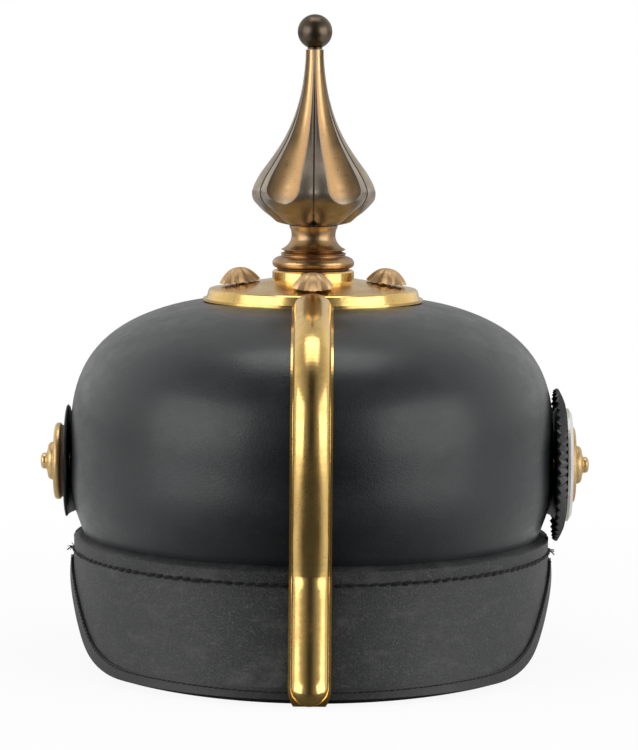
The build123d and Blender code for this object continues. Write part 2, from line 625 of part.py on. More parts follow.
def make_spike_bulb():
    """Hollow fluted bulb that draws up into the point."""
    rise = BULB_TOP_HEIGHT - bulb_foot()
    foot = (NECK_TOP_RADIUS, bulb_foot())
    top = (BULB_TOP_RADIUS, BULB_TOP_HEIGHT)
    line = bulb_line(0)
    bore = ROD_RADIUS + ROD_GAP
    ends = Polyline(foot, (bore, bulb_foot()), (bore, BULB_TOP_HEIGHT), top)
    bulb = revolve(Plane.XZ * make_face(line + ends), Axis.Z)
    cavity = [(BULB_RADIUS * wide, bulb_foot() + rise * up) for wide, up in CAVITY_SHARES]
    bulb -= turned((bore - ROD_GAP, cavity[0][1]), *cavity, (bore - ROD_GAP, cavity[-1][1]))
    flute, valley = flute_cutter(), valley_cutter()
    step = 360 / PETAL_COUNT
    cutters = [Rot(0, 0, step * (index + 0.5)) * flute for index in range(PETAL_COUNT)]
    cutters += [Rot(0, 0, step * index) * valley for index in range(PETAL_COUNT)]
    return bulb - cutters


def make_spike_finial():
    """Ball finial on a short stem."""
    ball = Pos(0, 0, BALL_HEIGHT) * Sphere(BALL_RADIUS)
    foot = BULB_TOP_HEIGHT + HOLE_GAP
    ball += Pos(0, 0, (foot + BALL_HEIGHT) / 2) * Cylinder(BALL_STEM_RADIUS, BALL_HEIGHT - foot)
    return ball - Pos(0, 0, (foot + BALL_HEIGHT) / 2) * Cylinder(ROD_RADIUS + ROD_GAP, BALL_HEIGHT - foot)


def make_spike_rod():
    """Tie rod through the spike, with the threaded stud at its lower end."""
    stud = STUD_HEAD_HEIGHT - STUD_FOOT_HEIGHT
    rod = BALL_HEIGHT - ROD_GAP - STUD_HEAD_HEIGHT
    low = Pos(0, 0, STUD_FOOT_HEIGHT + stud / 2) * Cylinder(STUD_RADIUS, stud)
    return low + Pos(0, 0, STUD_HEAD_HEIGHT + rod / 2) * Cylinder(ROD_RADIUS, rod)


# Rosettes and cockade
def lug_face():
    """Distance from the helmet's middle to the outer face of the chin strap's lug."""
    return SKULL_HALF_WIDTH + LUG_GAP + STRAP_LEATHER


def rosette(seat):
    """A stepped rosette with its post, whose back lies at a distance from the middle."""
    lip = ROSETTE_DISC / 3
    post_foot = SKULL_HALF_WIDTH - SKULL_WALL - ROSETTE_POST_INSIDE
    boss = ROSETTE_DISC + lip
    corners = [
        (0, seat),
        (ROSETTE_RADIUS, seat),
        (ROSETTE_RADIUS, seat + lip),
        (ROSETTE_RADIUS - lip, seat + 2 * lip),
        (ROSETTE_RADIUS - 3 * lip, seat + 2 * lip),
        (ROSETTE_RADIUS - 4 * lip, seat + ROSETTE_DISC),
        (ROSETTE_BOSS_RADIUS + lip, seat + ROSETTE_DISC),
        (ROSETTE_BOSS_RADIUS, seat + boss),
        (ROSETTE_BOSS_RADIUS - lip, seat + ROSETTE_BOSS_PROUD - lip / 2),
        (ROSETTE_KNOB_RADIUS + lip, seat + ROSETTE_BOSS_PROUD),
        (ROSETTE_KNOB_RADIUS, seat + ROSETTE_BOSS_PROUD + lip / 2),
        (ROSETTE_KNOB_RADIUS - lip / 2, seat + ROSETTE_PROUD - lip / 4),
        (0, seat + ROSETTE_PROUD),
    ]
    length = seat - post_foot
    return turned(*corners) + Pos(0, 0, post_foot + length / 2) * Cylinder(ROSETTE_POST_RADIUS, length)


def spacer_seat():
    """Distance from the middle to what is fixed outside the strap's lug."""
    return lug_face() + BODY_GAP


def make_rosette_left():
    """Rosette on the wearer's left."""
    return upright(rosette(spacer_seat() + SPACER_LEATHER), -1)


def make_rosette_right():
    """Rosette on the wearer's right, over the cockade."""
    return upright(rosette(cockade_top() + COCKADE_RING_SHEET), 1)


def washer_disc(radius, bore, low, thickness):
    """A flat ring on the axis, from a distance outwards."""
    return turned((bore, low), (radius, low), (radius, low + thickness), (bore, low + thickness))


def make_left_spacer():
    """Leather disc behind the left rosette."""
    bore = ROSETTE_POST_RADIUS + HOLE_GAP
    return upright(washer_disc(SPACER_RADIUS, bore, spacer_seat(), SPACER_LEATHER), -1)


def make_rosette_washers():
    """Steel washers inside the skull, one for each rosette."""
    outer = SKULL_HALF_WIDTH - SKULL_WALL - ROSETTE_WASHER_GAP
    bore = ROSETTE_POST_RADIUS + HOLE_GAP
    low = outer - ROSETTE_WASHER_THICKNESS
    ring = washer_disc(ROSETTE_WASHER_RADIUS, bore, low, ROSETTE_WASHER_THICKNESS)
    return [upright(ring, side) for side in (-1, 1)]


def make_rosette_nuts():
    """Nuts on the rosettes' posts, inside the skull."""
    top = SKULL_HALF_WIDTH - SKULL_WALL - ROSETTE_WASHER_GAP - ROSETTE_WASHER_THICKNESS
    nut = hexagon_nut(NUT_HALF_WIDTH, NUT_THICKNESS, ROSETTE_POST_RADIUS + HOLE_GAP, top)
    return [upright(nut, side) for side in (-1, 1)]


def cockade_top():
    """Distance from the middle to the flat face of the cockade."""
    return spacer_seat() + COCKADE_BOSS_LENGTH + COCKADE_SHEET


def make_cockade_boss():
    """Distance ring behind the middle of the cockade."""
    bore = ROSETTE_POST_RADIUS + HOLE_GAP
    return upright(washer_disc(COCKADE_BOSS_RADIUS, bore, spacer_seat(), COCKADE_BOSS_LENGTH), 1)


def make_cockade_disc():
    """Black cockade, dished back at its toothed rim."""
    bore = ROSETTE_POST_RADIUS + HOLE_GAP
    top = cockade_top()
    back = top - COCKADE_SHEET
    shoulder = COCKADE_HUB_RADIUS + COCKADE_SHEET
    disc = turned(
        (bore, back),
        (shoulder, back),
        (COCKADE_RADIUS - COCKADE_SHEET / 2, top - COCKADE_DISH - COCKADE_SHEET / 2),
        (COCKADE_RADIUS, top - COCKADE_DISH),
        (shoulder + COCKADE_SHEET / 2, top),
        (bore, top),
    )
    notch = Pos(COCKADE_RADIUS, 0, top - COCKADE_DISH) * Cylinder(COCKADE_TOOTH_RADIUS, OVERRUN)
    step = 360 / COCKADE_TEETH
    disc -= [Rot(0, 0, step * index) * notch for index in range(COCKADE_TEETH)]
    return upright(disc, 1)


def make_cockade_ring():
    """Silvered ring of the cockade, under the rosette."""
    bore = ROSETTE_POST_RADIUS + HOLE_GAP
    low = cockade_top()
    face = low + COCKADE_RING_SHEET
    crest = (COCKADE_RING_RADIUS + COCKADE_RING_INNER_RADIUS) / 2
    ring = turned(
        (bore, low),
        (COCKADE_RING_RADIUS, low),
        (COCKADE_RING_RADIUS, face),
        (crest + COCKADE_RING_SHEET, face + COCKADE_RING_RISE),
        (crest, face + COCKADE_RING_RISE),
        (COCKADE_RING_INNER_RADIUS, face),
        (bore, face),
    )
    return upright(ring, 1)


# Chin strap
def strap_height(reach):
    """Height of the strap's middle line at a reach to the front, seen from the side."""
    return ROSETTE_HEIGHT - (ROSETTE_HEIGHT - STRAP_FRONT_HEIGHT) * reach / STRAP_FRONT_REACH


def strap_outline():
    """Side view of the strap: round lug, taper and band."""
    taper = STRAP_FRONT_REACH * STRAP_TAPER_SHARE
    end = STRAP_FRONT_REACH + 2 * STRAP_HALF_WIDTH
    step, shoulder = [LUG_RADIUS * share for share in LUG_SHOULDER_SHARES]
    band = Polyline(
        (step, ROSETTE_HEIGHT + shoulder),
        (taper, strap_height(taper) + STRAP_HALF_WIDTH),
        (end, strap_height(end) + STRAP_HALF_WIDTH),
        (end, strap_height(end) - STRAP_HALF_WIDTH),
        (taper, strap_height(taper) - STRAP_HALF_WIDTH),
        (-step, ROSETTE_HEIGHT - shoulder),
        close=True,
    )
    lug = Pos(0, ROSETTE_HEIGHT) * Circle(LUG_RADIUS)
    return extrude(Plane.YZ * (make_face(band) + lug), amount=FAR, both=True)


def strap_half(side, rise):
    """One strap from its lug forward past the middle, its front raised by a rise."""
    near = SKULL_HALF_WIDTH + LUG_GAP
    reach = STRAP_FRONT_REACH + rise
    outer = Ellipse(near + STRAP_LEATHER, reach + STRAP_LEATHER) - Ellipse(near, reach)
    length = STRAP_LAP_HALF_WIDTH + near + STRAP_LEATHER
    front = Pos(side * (length / 2 - STRAP_LAP_HALF_WIDTH), FAR / 2) * Rectangle(length, FAR)
    hoop = extrude(outer & front, amount=FAR)
    plate_middle = side * (near + STRAP_LEATHER / 2)
    plate = Pos(plate_middle, -LUG_RADIUS, ROSETTE_HEIGHT) * Box(STRAP_LEATHER, 2 * LUG_RADIUS, FAR)
    strap = (hoop + plate) & strap_outline()
    return strap - upright(Cylinder(EYELET_RADIUS, FAR), 1)


def make_strap_left():
    """Chin strap fixed on the wearer's left, the inner one in the lap."""
    return strap_half(-1, 0)


def make_strap_right():
    """Chin strap fixed on the wearer's right, the outer one in the lap."""
    return strap_half(1, STRAP_LAP_RISE)


def make_strap_eyelets():
    """Brass eyelets in the lugs, which turn on the rosettes' posts."""
    ring = washer_disc(EYELET_RADIUS, ROSETTE_POST_RADIUS + EYELET_GAP, lug_face() - STRAP_LEATHER, STRAP_LEATHER)
    return [upright(ring, side) for side in (-1, 1)]


def make_strap_slides():
    """Brass loops that hold the two straps together."""
    half_width = SKULL_HALF_WIDTH + LUG_GAP + STRAP_LEATHER / 2
    reach = STRAP_FRONT_REACH + (STRAP_LAP_RISE + STRAP_LEATHER) / 2
    place = reach * sqrt(1 - (SLIDE_PLACE / half_width) ** 2)
    turn = degrees(atan2(reach**2 * SLIDE_PLACE, half_width**2 * place))
    depth = STRAP_LAP_RISE + STRAP_LEATHER + 2 * LUG_GAP
    height = 2 * STRAP_HALF_WIDTH + 2 * STRAP_LEATHER
    shell = Box(2 * SLIDE_HALF_WIDTH, depth + 2 * SLIDE_BRASS, height + 2 * SLIDE_BRASS)
    shell -= Box(4 * SLIDE_HALF_WIDTH, depth, height)
    return [
        Pos(side * SLIDE_PLACE, place, strap_height(place)) * Rot(0, 0, -side * turn) * shell for side in (-1, 1)
    ]


# Sweatband and lining
def inner_width(height):
    """Half width of the skull's inside at a height below its bulge."""
    return SKULL_HALF_WIDTH - SKULL_WALL - tuck(height)


def make_sweatband():
    """Leather band that sits round the head, sewn at the rim and standing off above."""
    foot = inner_width(BAND_FOOT_HEIGHT) - BODY_GAP
    top = inner_width(BAND_TOP_HEIGHT) - BAND_TOP_INSET
    outer = oval_solid([(foot, BAND_FOOT_HEIGHT), (top, BAND_TOP_HEIGHT)], ruled=True)
    rise = BAND_TOP_HEIGHT - BAND_FOOT_HEIGHT
    lean = (top - foot) * OVERRUN / rise
    low = (foot - BAND_LEATHER - lean, BAND_FOOT_HEIGHT - OVERRUN)
    high = (top - BAND_LEATHER + lean, BAND_TOP_HEIGHT + OVERRUN)
    return outer - oval_solid([low, high], ruled=True)


def make_lining():
    """Cloth lining, gathered to a round mouth under the crown."""
    wide = inner_width(BAND_TOP_HEIGHT) - BAND_TOP_INSET - BAND_LEATHER - BODY_GAP
    rise = LINING_TOP_HEIGHT - LINING_FOOT_HEIGHT
    span = wide - LINING_MOUTH_RADIUS
    points = [
        (LINING_MOUTH_RADIUS + span * out, LINING_FOOT_HEIGHT + rise * up) for out, up in LINING_SHARES
    ]
    inner = [(radius - LINING_CLOTH, height - LINING_CLOTH) for radius, height in points]
    mouth = Pos(0, 0, LINING_TOP_HEIGHT) * Cylinder(LINING_MOUTH_RADIUS, 2 * OVERRUN)
    return oval_solid(points) - oval_solid(inner) - mouth


PIECES = {
    "skull": make_skull,
    "rear_visor": REAR_VISOR.leather,
    "rear_visor_binding": lambda: REAR_VISOR.channel(BINDING_LEATHER, BINDING_WIDTH),
    "rear_visor_lining": lambda: REAR_VISOR.underlay(BINDING_WIDTH),
    "front_visor": FRONT_VISOR.leather,
    "front_visor_trim": lambda: FRONT_VISOR.channel(TRIM_BRASS, TRIM_WIDTH) - below(0),
    "front_visor_lining": lambda: FRONT_VISOR.underlay(TRIM_WIDTH),
    "rear_spine": make_rear_spine,
    "spine_nuts": make_spine_nuts,
    "base_disc": make_base_disc,
    "base_collar": make_base_collar,
    "socket_bush": make_socket_bush,
    "crown_plate": make_crown_plate,
    "bush_nut": make_bush_nut,
    "flower_screws": make_flower_screws,
    "flower_screw_nuts": make_flower_screw_nuts,
    "seat_washer": make_seat_washer,
    "spike_neck": make_spike_neck,
    "spike_bulb": make_spike_bulb,
    "spike_finial": make_spike_finial,
    "spike_rod": make_spike_rod,
    "rosette_left": make_rosette_left,
    "rosette_right": make_rosette_right,
    "rosette_washers": make_rosette_washers,
    "rosette_nuts": make_rosette_nuts,
    "left_spacer": make_left_spacer,
    "cockade_boss": make_cockade_boss,
    "cockade_disc": make_cockade_disc,
    "cockade_ring": make_cockade_ring,
    "strap_left": make_strap_left,
    "strap_right": make_strap_right,
    "strap_eyelets": make_strap_eyelets,
    "strap_slides": make_strap_slides,
    "sweatband": make_sweatband,
    "lining": make_lining,
}


def main():
    """Builds every piece and writes one STEP file for each."""
    os.makedirs("parts", exist_ok=True)
    for name, make in PIECES.items():
        piece = make()
        solids = [solid for item in piece for solid in item.solids()] if isinstance(piece, list) else piece.solids()
        export_step(Compound(children=solids) if len(solids) > 1 else solids[0], f"parts/{name}.step")
        volume = sum(solid.volume for solid in solids)
        print(name, len(solids), round(volume))


if __name__ == "__main__":
    main()
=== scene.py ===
import logging
import math
import random
from dataclasses import dataclass, field
from enum import Enum

import bmesh
import bpy
from mathutils import Matrix, Vector
from mathutils.bvhtree import BVHTree


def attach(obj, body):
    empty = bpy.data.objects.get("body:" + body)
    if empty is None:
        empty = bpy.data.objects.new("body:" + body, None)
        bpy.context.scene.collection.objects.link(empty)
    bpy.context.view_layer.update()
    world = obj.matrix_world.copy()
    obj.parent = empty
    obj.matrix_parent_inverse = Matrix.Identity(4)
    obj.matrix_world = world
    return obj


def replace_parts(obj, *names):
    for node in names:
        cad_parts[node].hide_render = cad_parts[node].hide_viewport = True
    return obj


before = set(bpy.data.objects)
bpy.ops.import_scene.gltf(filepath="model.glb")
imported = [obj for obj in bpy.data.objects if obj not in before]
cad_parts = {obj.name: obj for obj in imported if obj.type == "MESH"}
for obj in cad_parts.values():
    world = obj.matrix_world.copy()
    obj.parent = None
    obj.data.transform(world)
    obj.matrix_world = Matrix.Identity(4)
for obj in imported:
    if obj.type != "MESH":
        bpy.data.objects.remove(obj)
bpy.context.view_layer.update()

# The look of a spiked leather dress helmet, on its CAD frame. Lengths are in metres and angles in
# radians, unless a docstring says otherwise; +Y is the front and +X the wearer's right.
MM = 0.001
LOG = logging.getLogger("spiked_helmet")

Point = tuple[float, float, float]
Colour = tuple[float, float, float]
Span = tuple[float, float]
Profile = tuple[tuple[float, float], ...]
Hit = tuple[Vector, Vector]
Line = list[Hit]
Socket = bpy.types.NodeSocket

# Half width and half length of the helmet at the visors' seams
RIM_OVAL = (93.7 * MM, 107.4 * MM)
# Turns in degrees between which the rear visor lies, seen from above
REAR_SPAN = (181.5, 358.5)
# Length of the helmet's inside over its width
LENGTH_SHARE = 1.149
# Where a ray at a wall starts, as a share of the oval, and how long it is
RAY_START_SHARE = 1.3
RAY_LENGTH = 45 * MM
# Steps of the search for a wall's edge
HALVINGS = 16


class Body(Enum):
    """Bodies that the scene's own pieces ride on."""

    HELMET = "helmet"
    STRAP = "chin_strap"
    SPIKE = "spike"


class Side(Enum):
    """Sides of the helmet, as the wearer sees them."""

    LEFT = -1
    RIGHT = 1


class Grain(Enum):
    """Surfaces of leather, each with the depth of its waves in metres and its sheen."""

    GLAZED = (0.00012, 0.0)
    DRY = (0.0005, 0.0)
    SUEDE = (0.0, 0.25)


class Calculation(Enum):
    """Calculations that a node tree uses."""

    SIZE = "ABSOLUTE"
    SUM = "ADD"
    PRODUCT = "MULTIPLY"
    LARGER = "MAXIMUM"


def rgba(colour: Colour) -> tuple[float, float, float, float]:
    """Returns a colour with full opacity added."""
    return (*colour, 1.0)


class Nodes:
    """A node tree that is filled step by step."""

    def __init__(self, tree: bpy.types.NodeTree, coordinates: str) -> None:
        """Takes a node tree and reads one kind of coordinates in it."""
        self.tree = tree
        self.place = self.add("ShaderNodeTexCoord").outputs[coordinates]

    def add(self, kind: str, **values: str) -> bpy.types.Node:
        """Adds a node.

        Args:
            kind: Blender's node type.
            values: Node properties to set.

        Returns:
            The new node.
        """
        node = self.tree.nodes.new(kind)
        for key, value in values.items():
            setattr(node, key, value)
        return node

    def link(self, source: Socket, target: Socket) -> None:
        """Joins an output to an input."""
        self.tree.links.new(source, target)

    def axes(self) -> tuple[Socket, Socket]:
        """Splits the coordinates.

        Returns:
            The sockets of the distance beside the middle and of Y.
        """
        split = self.add("ShaderNodeSeparateXYZ")
        self.link(self.place, split.inputs[0])
        return self.calculate(Calculation.SIZE, split.outputs["X"]), split.outputs["Y"]

    def calculate(self, calculation: Calculation, *sources: Socket) -> Socket:
        """Adds a calculation.

        Args:
            calculation: What is done.
            sources: Sockets that it is done with.

        Returns:
            The result's socket.
        """
        node = self.add("ShaderNodeMath", operation=calculation.value)
        for source, target in zip(sources, node.inputs):
            self.link(source, target)
        return node.outputs[0]

    def grey(self, source: Socket, to: Span, over: Span = (0.0, 1.0)) -> Socket:
        """Maps a span of a factor to a span of greys.

        Args:
            source: Factor socket.
            to: Greys at the span's two ends.
            over: The factor's span.

        Returns:
            The greys' socket.
        """
        node = self.add("ShaderNodeMapRange")
        names = ("From Min", "From Max", "To Min", "To Max")
        for name, value in zip(names, (*over, *to)):
            node.inputs[name].default_value = value
        self.link(source, node.inputs["Value"])
        return node.outputs["Result"]


class Shader(Nodes):
    """A material's node tree."""

    def __init__(self, name: str) -> None:
        """Starts a material.

        Args:
            name: Name of the material.
        """
        self.material = bpy.data.materials.new(name)
        self.material.use_nodes = True
        super().__init__(self.material.node_tree, "Object")
        self.surface = self.tree.nodes["Principled BSDF"]

    def set(self, socket: str, value: float) -> None:
        """Sets a number of the surface that is the same everywhere."""
        self.surface.inputs[socket].default_value = value

    def noise(
        self, scale: float, detail: float = 4.0, rough: float = 0.55, stretch: Point = (1.0, 1.0, 1.0)
    ) -> Socket:
        """Adds a noise in object space.

        Args:
            scale: Features per metre.
            detail: Octaves.
            rough: Weight of the finer octaves.
            stretch: Scale along each axis.

        Returns:
            The noise's factor socket.
        """
        mapping = self.add("ShaderNodeMapping")
        mapping.inputs["Scale"].default_value = stretch
        self.link(self.place, mapping.inputs["Vector"])
        node = self.add("ShaderNodeTexNoise")
        for name, value in (("Scale", scale), ("Detail", detail), ("Roughness", rough)):
            node.inputs[name].default_value = value
        self.link(mapping.outputs["Vector"], node.inputs["Vector"])
        return node.outputs["Fac"]

    def pattern(self, kind: str, scale: float, output: str, **values: str) -> Socket:
        """Adds a pattern of another kind in object space.

        Args:
            kind: Blender's texture node.
            scale: Features per metre.
            output: Name of the output to use.
            values: Node properties to set.

        Returns:
            The output's socket.
        """
        node = self.add(kind, **values)
        node.inputs["Scale"].default_value = scale
        self.link(self.place, node.inputs["Vector"])
        return node.outputs[output]

    def ramp(self, source: Socket, low: tuple[float, Colour], high: tuple[float, Colour]) -> Socket:
        """Maps a factor to a run of colours.

        Args:
            source: Factor socket.
            low: Where the first colour ends, and that colour.
            high: Where the second colour starts, and that colour.

        Returns:
            The colour socket.
        """
        node = self.add("ShaderNodeValToRGB")
        for element, (position, colour) in zip(node.color_ramp.elements, (low, high)):
            element.position = position
            element.color = rgba(colour)
        self.link(source, node.inputs["Fac"])
        return node.outputs["Color"]

    def blend(self, factor: Socket, below: Socket, above: Colour) -> Socket:
        """Lays a colour over another.

        Args:
            factor: Socket that says how much of it shows.
            below: Socket of the colour below.
            above: The colour laid over it.

        Returns:
            The blended colour's socket.
        """
        node = self.add("ShaderNodeMix", data_type="RGBA")
        first, second = node.inputs[6:8]
        self.link(factor, node.inputs["Factor"])
        self.link(below, first)
        second.default_value = rgba(above)
        return node.outputs[2]

    def bump(self, height: Socket, depth: float, before: Socket | None = None) -> Socket:
        """Adds a relief.

        Args:
            height: Height socket.
            depth: Depth in metres that a height of 1 stands for.
            before: Normal socket of an earlier relief.

        Returns:
            The normal socket.
        """
        node = self.add("ShaderNodeBump")
        node.inputs["Strength"].default_value = 1.0
        node.inputs["Distance"].default_value = depth
        self.link(height, node.inputs["Height"])
        if before is not None:
            self.link(before, node.inputs["Normal"])
        return node.outputs["Normal"]

    def finish(self, colour: Socket, roughness: Socket, normal: Socket) -> bpy.types.Material:
        """Joins the last sockets to the surface.

        Args:
            colour: Base colour socket.
            roughness: Roughness socket.
            normal: Normal socket.

        Returns:
            The material.
        """
        for name, source in (("Base Color", colour), ("Roughness", roughness), ("Normal", normal)):
            self.link(source, self.surface.inputs[name])
        return self.material


@dataclass(frozen=True)
class Leather:
    """A leather finish, rubbed, scratched and gritty where it is worn."""

    name: str
    colour: Colour
    worn: Colour
    grain: Grain = Grain.GLAZED
    roughness: float = 0.36
    coat: float = 0.0
    scuffs: float = 0.2
    pore: float = 1100.0
    relief: float = 0.00005

    def make(self) -> bpy.types.Material:
        """Makes the finish.

        Returns:
            The leather's material.
        """
        shader = Shader(self.name)
        cloud = shader.noise(26.0, detail=6.0, rough=0.6)
        patches = shader.noise(70.0, detail=8.0, rough=0.7, stretch=(1.0, 1.0, 2.2))
        scratches = shader.noise(420.0, detail=3.0, rough=0.6, stretch=(0.12, 1.0, 1.6))
        grit = shader.noise(1300.0, detail=3.0, rough=0.7)
        lighter = tuple(min(1, c * 1.5 + 0.003) for c in self.colour)
        colour = shader.ramp(cloud, (0.3, self.colour), (0.75, lighter))
        for wear, over in ((patches, (0.5, 0.78)), (scratches, (0.66, 0.74)), (grit, (0.5, 0.75))):
            colour = shader.blend(shader.grey(wear, (0.0, self.scuffs), over), colour, self.worn)
        rough = shader.grey(patches, (self.roughness - 0.06, self.roughness + 0.16), (0.3, 0.8))
        pores = shader.pattern("ShaderNodeTexVoronoi", self.pore, "Distance")
        normal = shader.bump(pores, self.relief)
        fine = shader.noise(self.pore * 0.45, detail=5.0, rough=0.6)
        normal = shader.bump(fine, self.relief * 1.6, normal)
        waves, sheen = self.grain.value
        if waves:
            normal = shader.bump(shader.noise(34.0, detail=3.0, rough=0.5), waves, normal)
        shader.set("Sheen Weight", sheen)
        shader.set("Coat Weight", self.coat)
        shader.set("Coat Roughness", 0.22)
        return shader.finish(colour, rough, normal)


@dataclass(frozen=True)
class Brass:
    """A metal finish with tarnish in clouds, grime in fine spots, darker in creases, and a painted highlight
    where one is given.
    """

    name: str
    bright: Colour
    tarnish: Colour
    cover: float = 0.35
    roughness: float = 0.16
    metallic: float = 1.0
    # Colour of a painted highlight on faces that the mesh picks out, if any
    painted_highlight: Colour | None = None
    # Dark colour of the grime spots and of the darkening in creases
    dirt_and_crease_dark: Colour = (0.16, 0.09, 0.04)
    crease_darkening: float = 0.8

    def make(self) -> bpy.types.Material:
        """Makes the finish, with a painted highlight colour, if any, on faces marked as hollow.

        Returns:
            The metal's material.
        """
        shader = Shader(self.name)
        cloud = shader.noise(55.0, detail=7.0, rough=0.62)
        wiped = shader.noise(160.0, rough=0.6, stretch=(1.0, 1.0, 0.25))
        spots = shader.noise(900.0, detail=3.0, rough=0.7)
        bright_end, tarnish_start = 0.62 - self.cover * 0.6, 0.95 - self.cover * 0.5
        colour = shader.ramp(cloud, (bright_end, self.bright), (tarnish_start, self.tarnish))
        colour = shader.blend(shader.grey(wiped, (0.0, 0.35), (0.5, 0.8)), colour, self.tarnish)
        # Painted highlight: a bright colour laid over the faces picked out by the mesh's hollow mark
        if self.painted_highlight:
            mark = shader.add("ShaderNodeAttribute", attribute_name="hollow")
            colour = shader.blend(mark.outputs["Fac"], colour, self.painted_highlight)
        colour = shader.blend(shader.grey(spots, (0.0, 0.5), (0.6, 0.7)), colour, self.dirt_and_crease_dark)
        # Darker in creases, where pointiness is low, in the same dark colour as the spots
        crease = shader.add("ShaderNodeNewGeometry").outputs["Pointiness"]
        colour = shader.blend(shader.grey(crease, (self.crease_darkening, 0.0), (0.38, 0.49)), colour, self.dirt_and_crease_dark)
        rough = shader.grey(cloud, (self.roughness, self.roughness + 0.2), (0.35, 0.75))
        shader.set("Metallic", self.metallic)
        return shader.finish(colour, rough, shader.bump(shader.noise(700.0, rough=0.6), 0.00002))


@dataclass(frozen=True)
class Paint:
    """A plain paint or thread finish."""

    name: str
    colour: Colour
    roughness: float = 0.3
    sheen: float = 0.0

    def make(self) -> bpy.types.Material:
        """Makes the finish.

        Returns:
            The paint's material.
        """
        shader = Shader(self.name)
        cloud = shader.noise(300.0, detail=5.0, rough=0.6)
        light = tuple(min(1.0, c * 1.7 + 0.01) for c in self.colour)
        colour = shader.ramp(cloud, (0.35, self.colour), (0.8, light))
        rough = shader.grey(cloud, (self.roughness, self.roughness + 0.15))
        shader.set("Sheen Weight", self.sheen)
        return shader.finish(colour, rough, shader.bump(shader.noise(1500.0), 0.00003))


@dataclass(frozen=True)
class Silk:
    """A woven lining cloth."""

    name: str
    colour: Colour
    threads: float = 3200.0

    def make(self) -> bpy.types.Material:
        """Makes the finish.

        Returns:
            The cloth's material.
        """
        shader = Shader(self.name)
        cloud = shader.noise(40.0, detail=6.0, rough=0.6)
        dark = tuple(c * 0.6 for c in self.colour)
        colour = shader.ramp(cloud, (0.3, dark), (0.7, self.colour))
        weave = shader.pattern("ShaderNodeTexWave", self.threads, "Fac", bands_direction="Z")
        shader.set("Sheen Weight", 0.4)
        return shader.finish(colour, shader.grey(cloud, (0.5, 0.7)), shader.bump(weave, 0.00004))


class Finish(Enum):
    """The helmet's finishes."""

    SKULL = Leather(
        "glazed_black", (0.0065, 0.0085, 0.01), (0.09, 0.1, 0.1),
        coat=0.25, scuffs=0.1, pore=2200.0, relief=0.00004,
    )
    VISOR = Leather(
        "dry_black", (0.015, 0.016, 0.017), (0.17, 0.17, 0.165),
        Grain.DRY, 0.46, scuffs=0.45, pore=1700.0, relief=0.00008,
    )
    BINDING = Leather("edge_black", (0.012, 0.012, 0.013), (0.1, 0.1, 0.1), Grain.DRY, 0.42, scuffs=0.3)
    UNDER = Leather("under_black", (0.02, 0.019, 0.018), (0.1, 0.09, 0.08), Grain.SUEDE, 0.6)
    GREEN = Leather("under_green", (0.03, 0.07, 0.04), (0.12, 0.15, 0.1), Grain.SUEDE, 0.6)
    BROWN = Leather("brown_leather", (0.09, 0.04, 0.018), (0.2, 0.12, 0.06), Grain.DRY, 0.5)
    STRAP = Leather("strap_black", (0.012, 0.011, 0.011), (0.1, 0.09, 0.08), Grain.DRY, 0.4)
    GILT = Brass("gilt_brass", (0.93, 0.63, 0.22), (0.62, 0.38, 0.13), 0.3, 0.13)
    CAST = Brass("dull_brass", (0.88, 0.62, 0.29), (0.52, 0.34, 0.15), 0.45, 0.34)
    COPPER = Brass("worn_screws", (0.85, 0.58, 0.3), (0.5, 0.32, 0.17), 0.45, 0.45)
    BRONZE = Brass("bronzed_brass", (0.6, 0.38, 0.18), (0.27, 0.17, 0.1), 0.5, 0.24)
    # The bulb's flutes take a painted highlight: a bright brass colour on the faces its mesh picks out
    BULB = Brass("fluted_bronze", (0.5, 0.43, 0.34), (0.3, 0.25, 0.2), 0.5, 0.3, painted_highlight=(0.9, 0.57, 0.27))
    DARK = Brass("dark_bronze", (0.2, 0.15, 0.1), (0.07, 0.055, 0.045), 0.6, 0.28)
    STEEL = Brass("old_steel", (0.45, 0.44, 0.42), (0.2, 0.17, 0.14), 0.4, 0.35)
    SILVER = Brass("silvered", (0.9, 0.89, 0.86), (0.7, 0.67, 0.6), 0.2, 0.3, metallic=0.6)
    BLACK = Paint("black_lacquer", (0.008, 0.008, 0.009), 0.22)
    THREAD = Paint("waxed_thread", (0.002, 0.002, 0.002), 0.7, 0.05)
    SILK = Silk("lining_silk", (0.42, 0.33, 0.21))


class Workshop:
    """Makes each finish once and gives it to pieces and nodes."""

    def __init__(self) -> None:
        """Starts with no finish made."""
        self.made: dict[Finish, bpy.types.Material] = {}

    def dress(self, thing: bpy.types.Object, finish: Finish) -> None:
        """Gives an object its finish.

        Args:
            thing: The piece or node.
            finish: Its finish.
        """
        if finish not in self.made:
            self.made[finish] = finish.value.make()
        thing.data.materials.clear()
        thing.data.materials.append(self.made[finish])
        LOG.info("dressed %s in %s", thing.name, finish.name.lower())


def turns_between(start: float, end: float, steps: int) -> list[float]:
    """Returns evenly spaced turns in radians between two turns in degrees."""
    return [math.radians(start + (end - start) * index / steps) for index in range(steps + 1)]


def full_turn(count: int) -> list[float]:
    """Returns evenly spaced turns in radians, once around."""
    return [math.tau * index / count for index in range(count)]


def shares(count: int) -> list[float]:
    """Returns evenly spaced shares from 0 to 1."""
    return [index / count for index in range(count + 1)]


def around(radius: float, height: float, columns: int) -> list[Vector]:
    """Returns a level circle about the spike's axis."""
    return [Vector((radius * math.cos(turn), radius * math.sin(turn), height)) for turn in full_turn(columns)]


def level(way: Vector) -> Vector:
    """Returns a direction of length 1 without its rise."""
    return Vector((way.x, way.y, 0)).normalized()


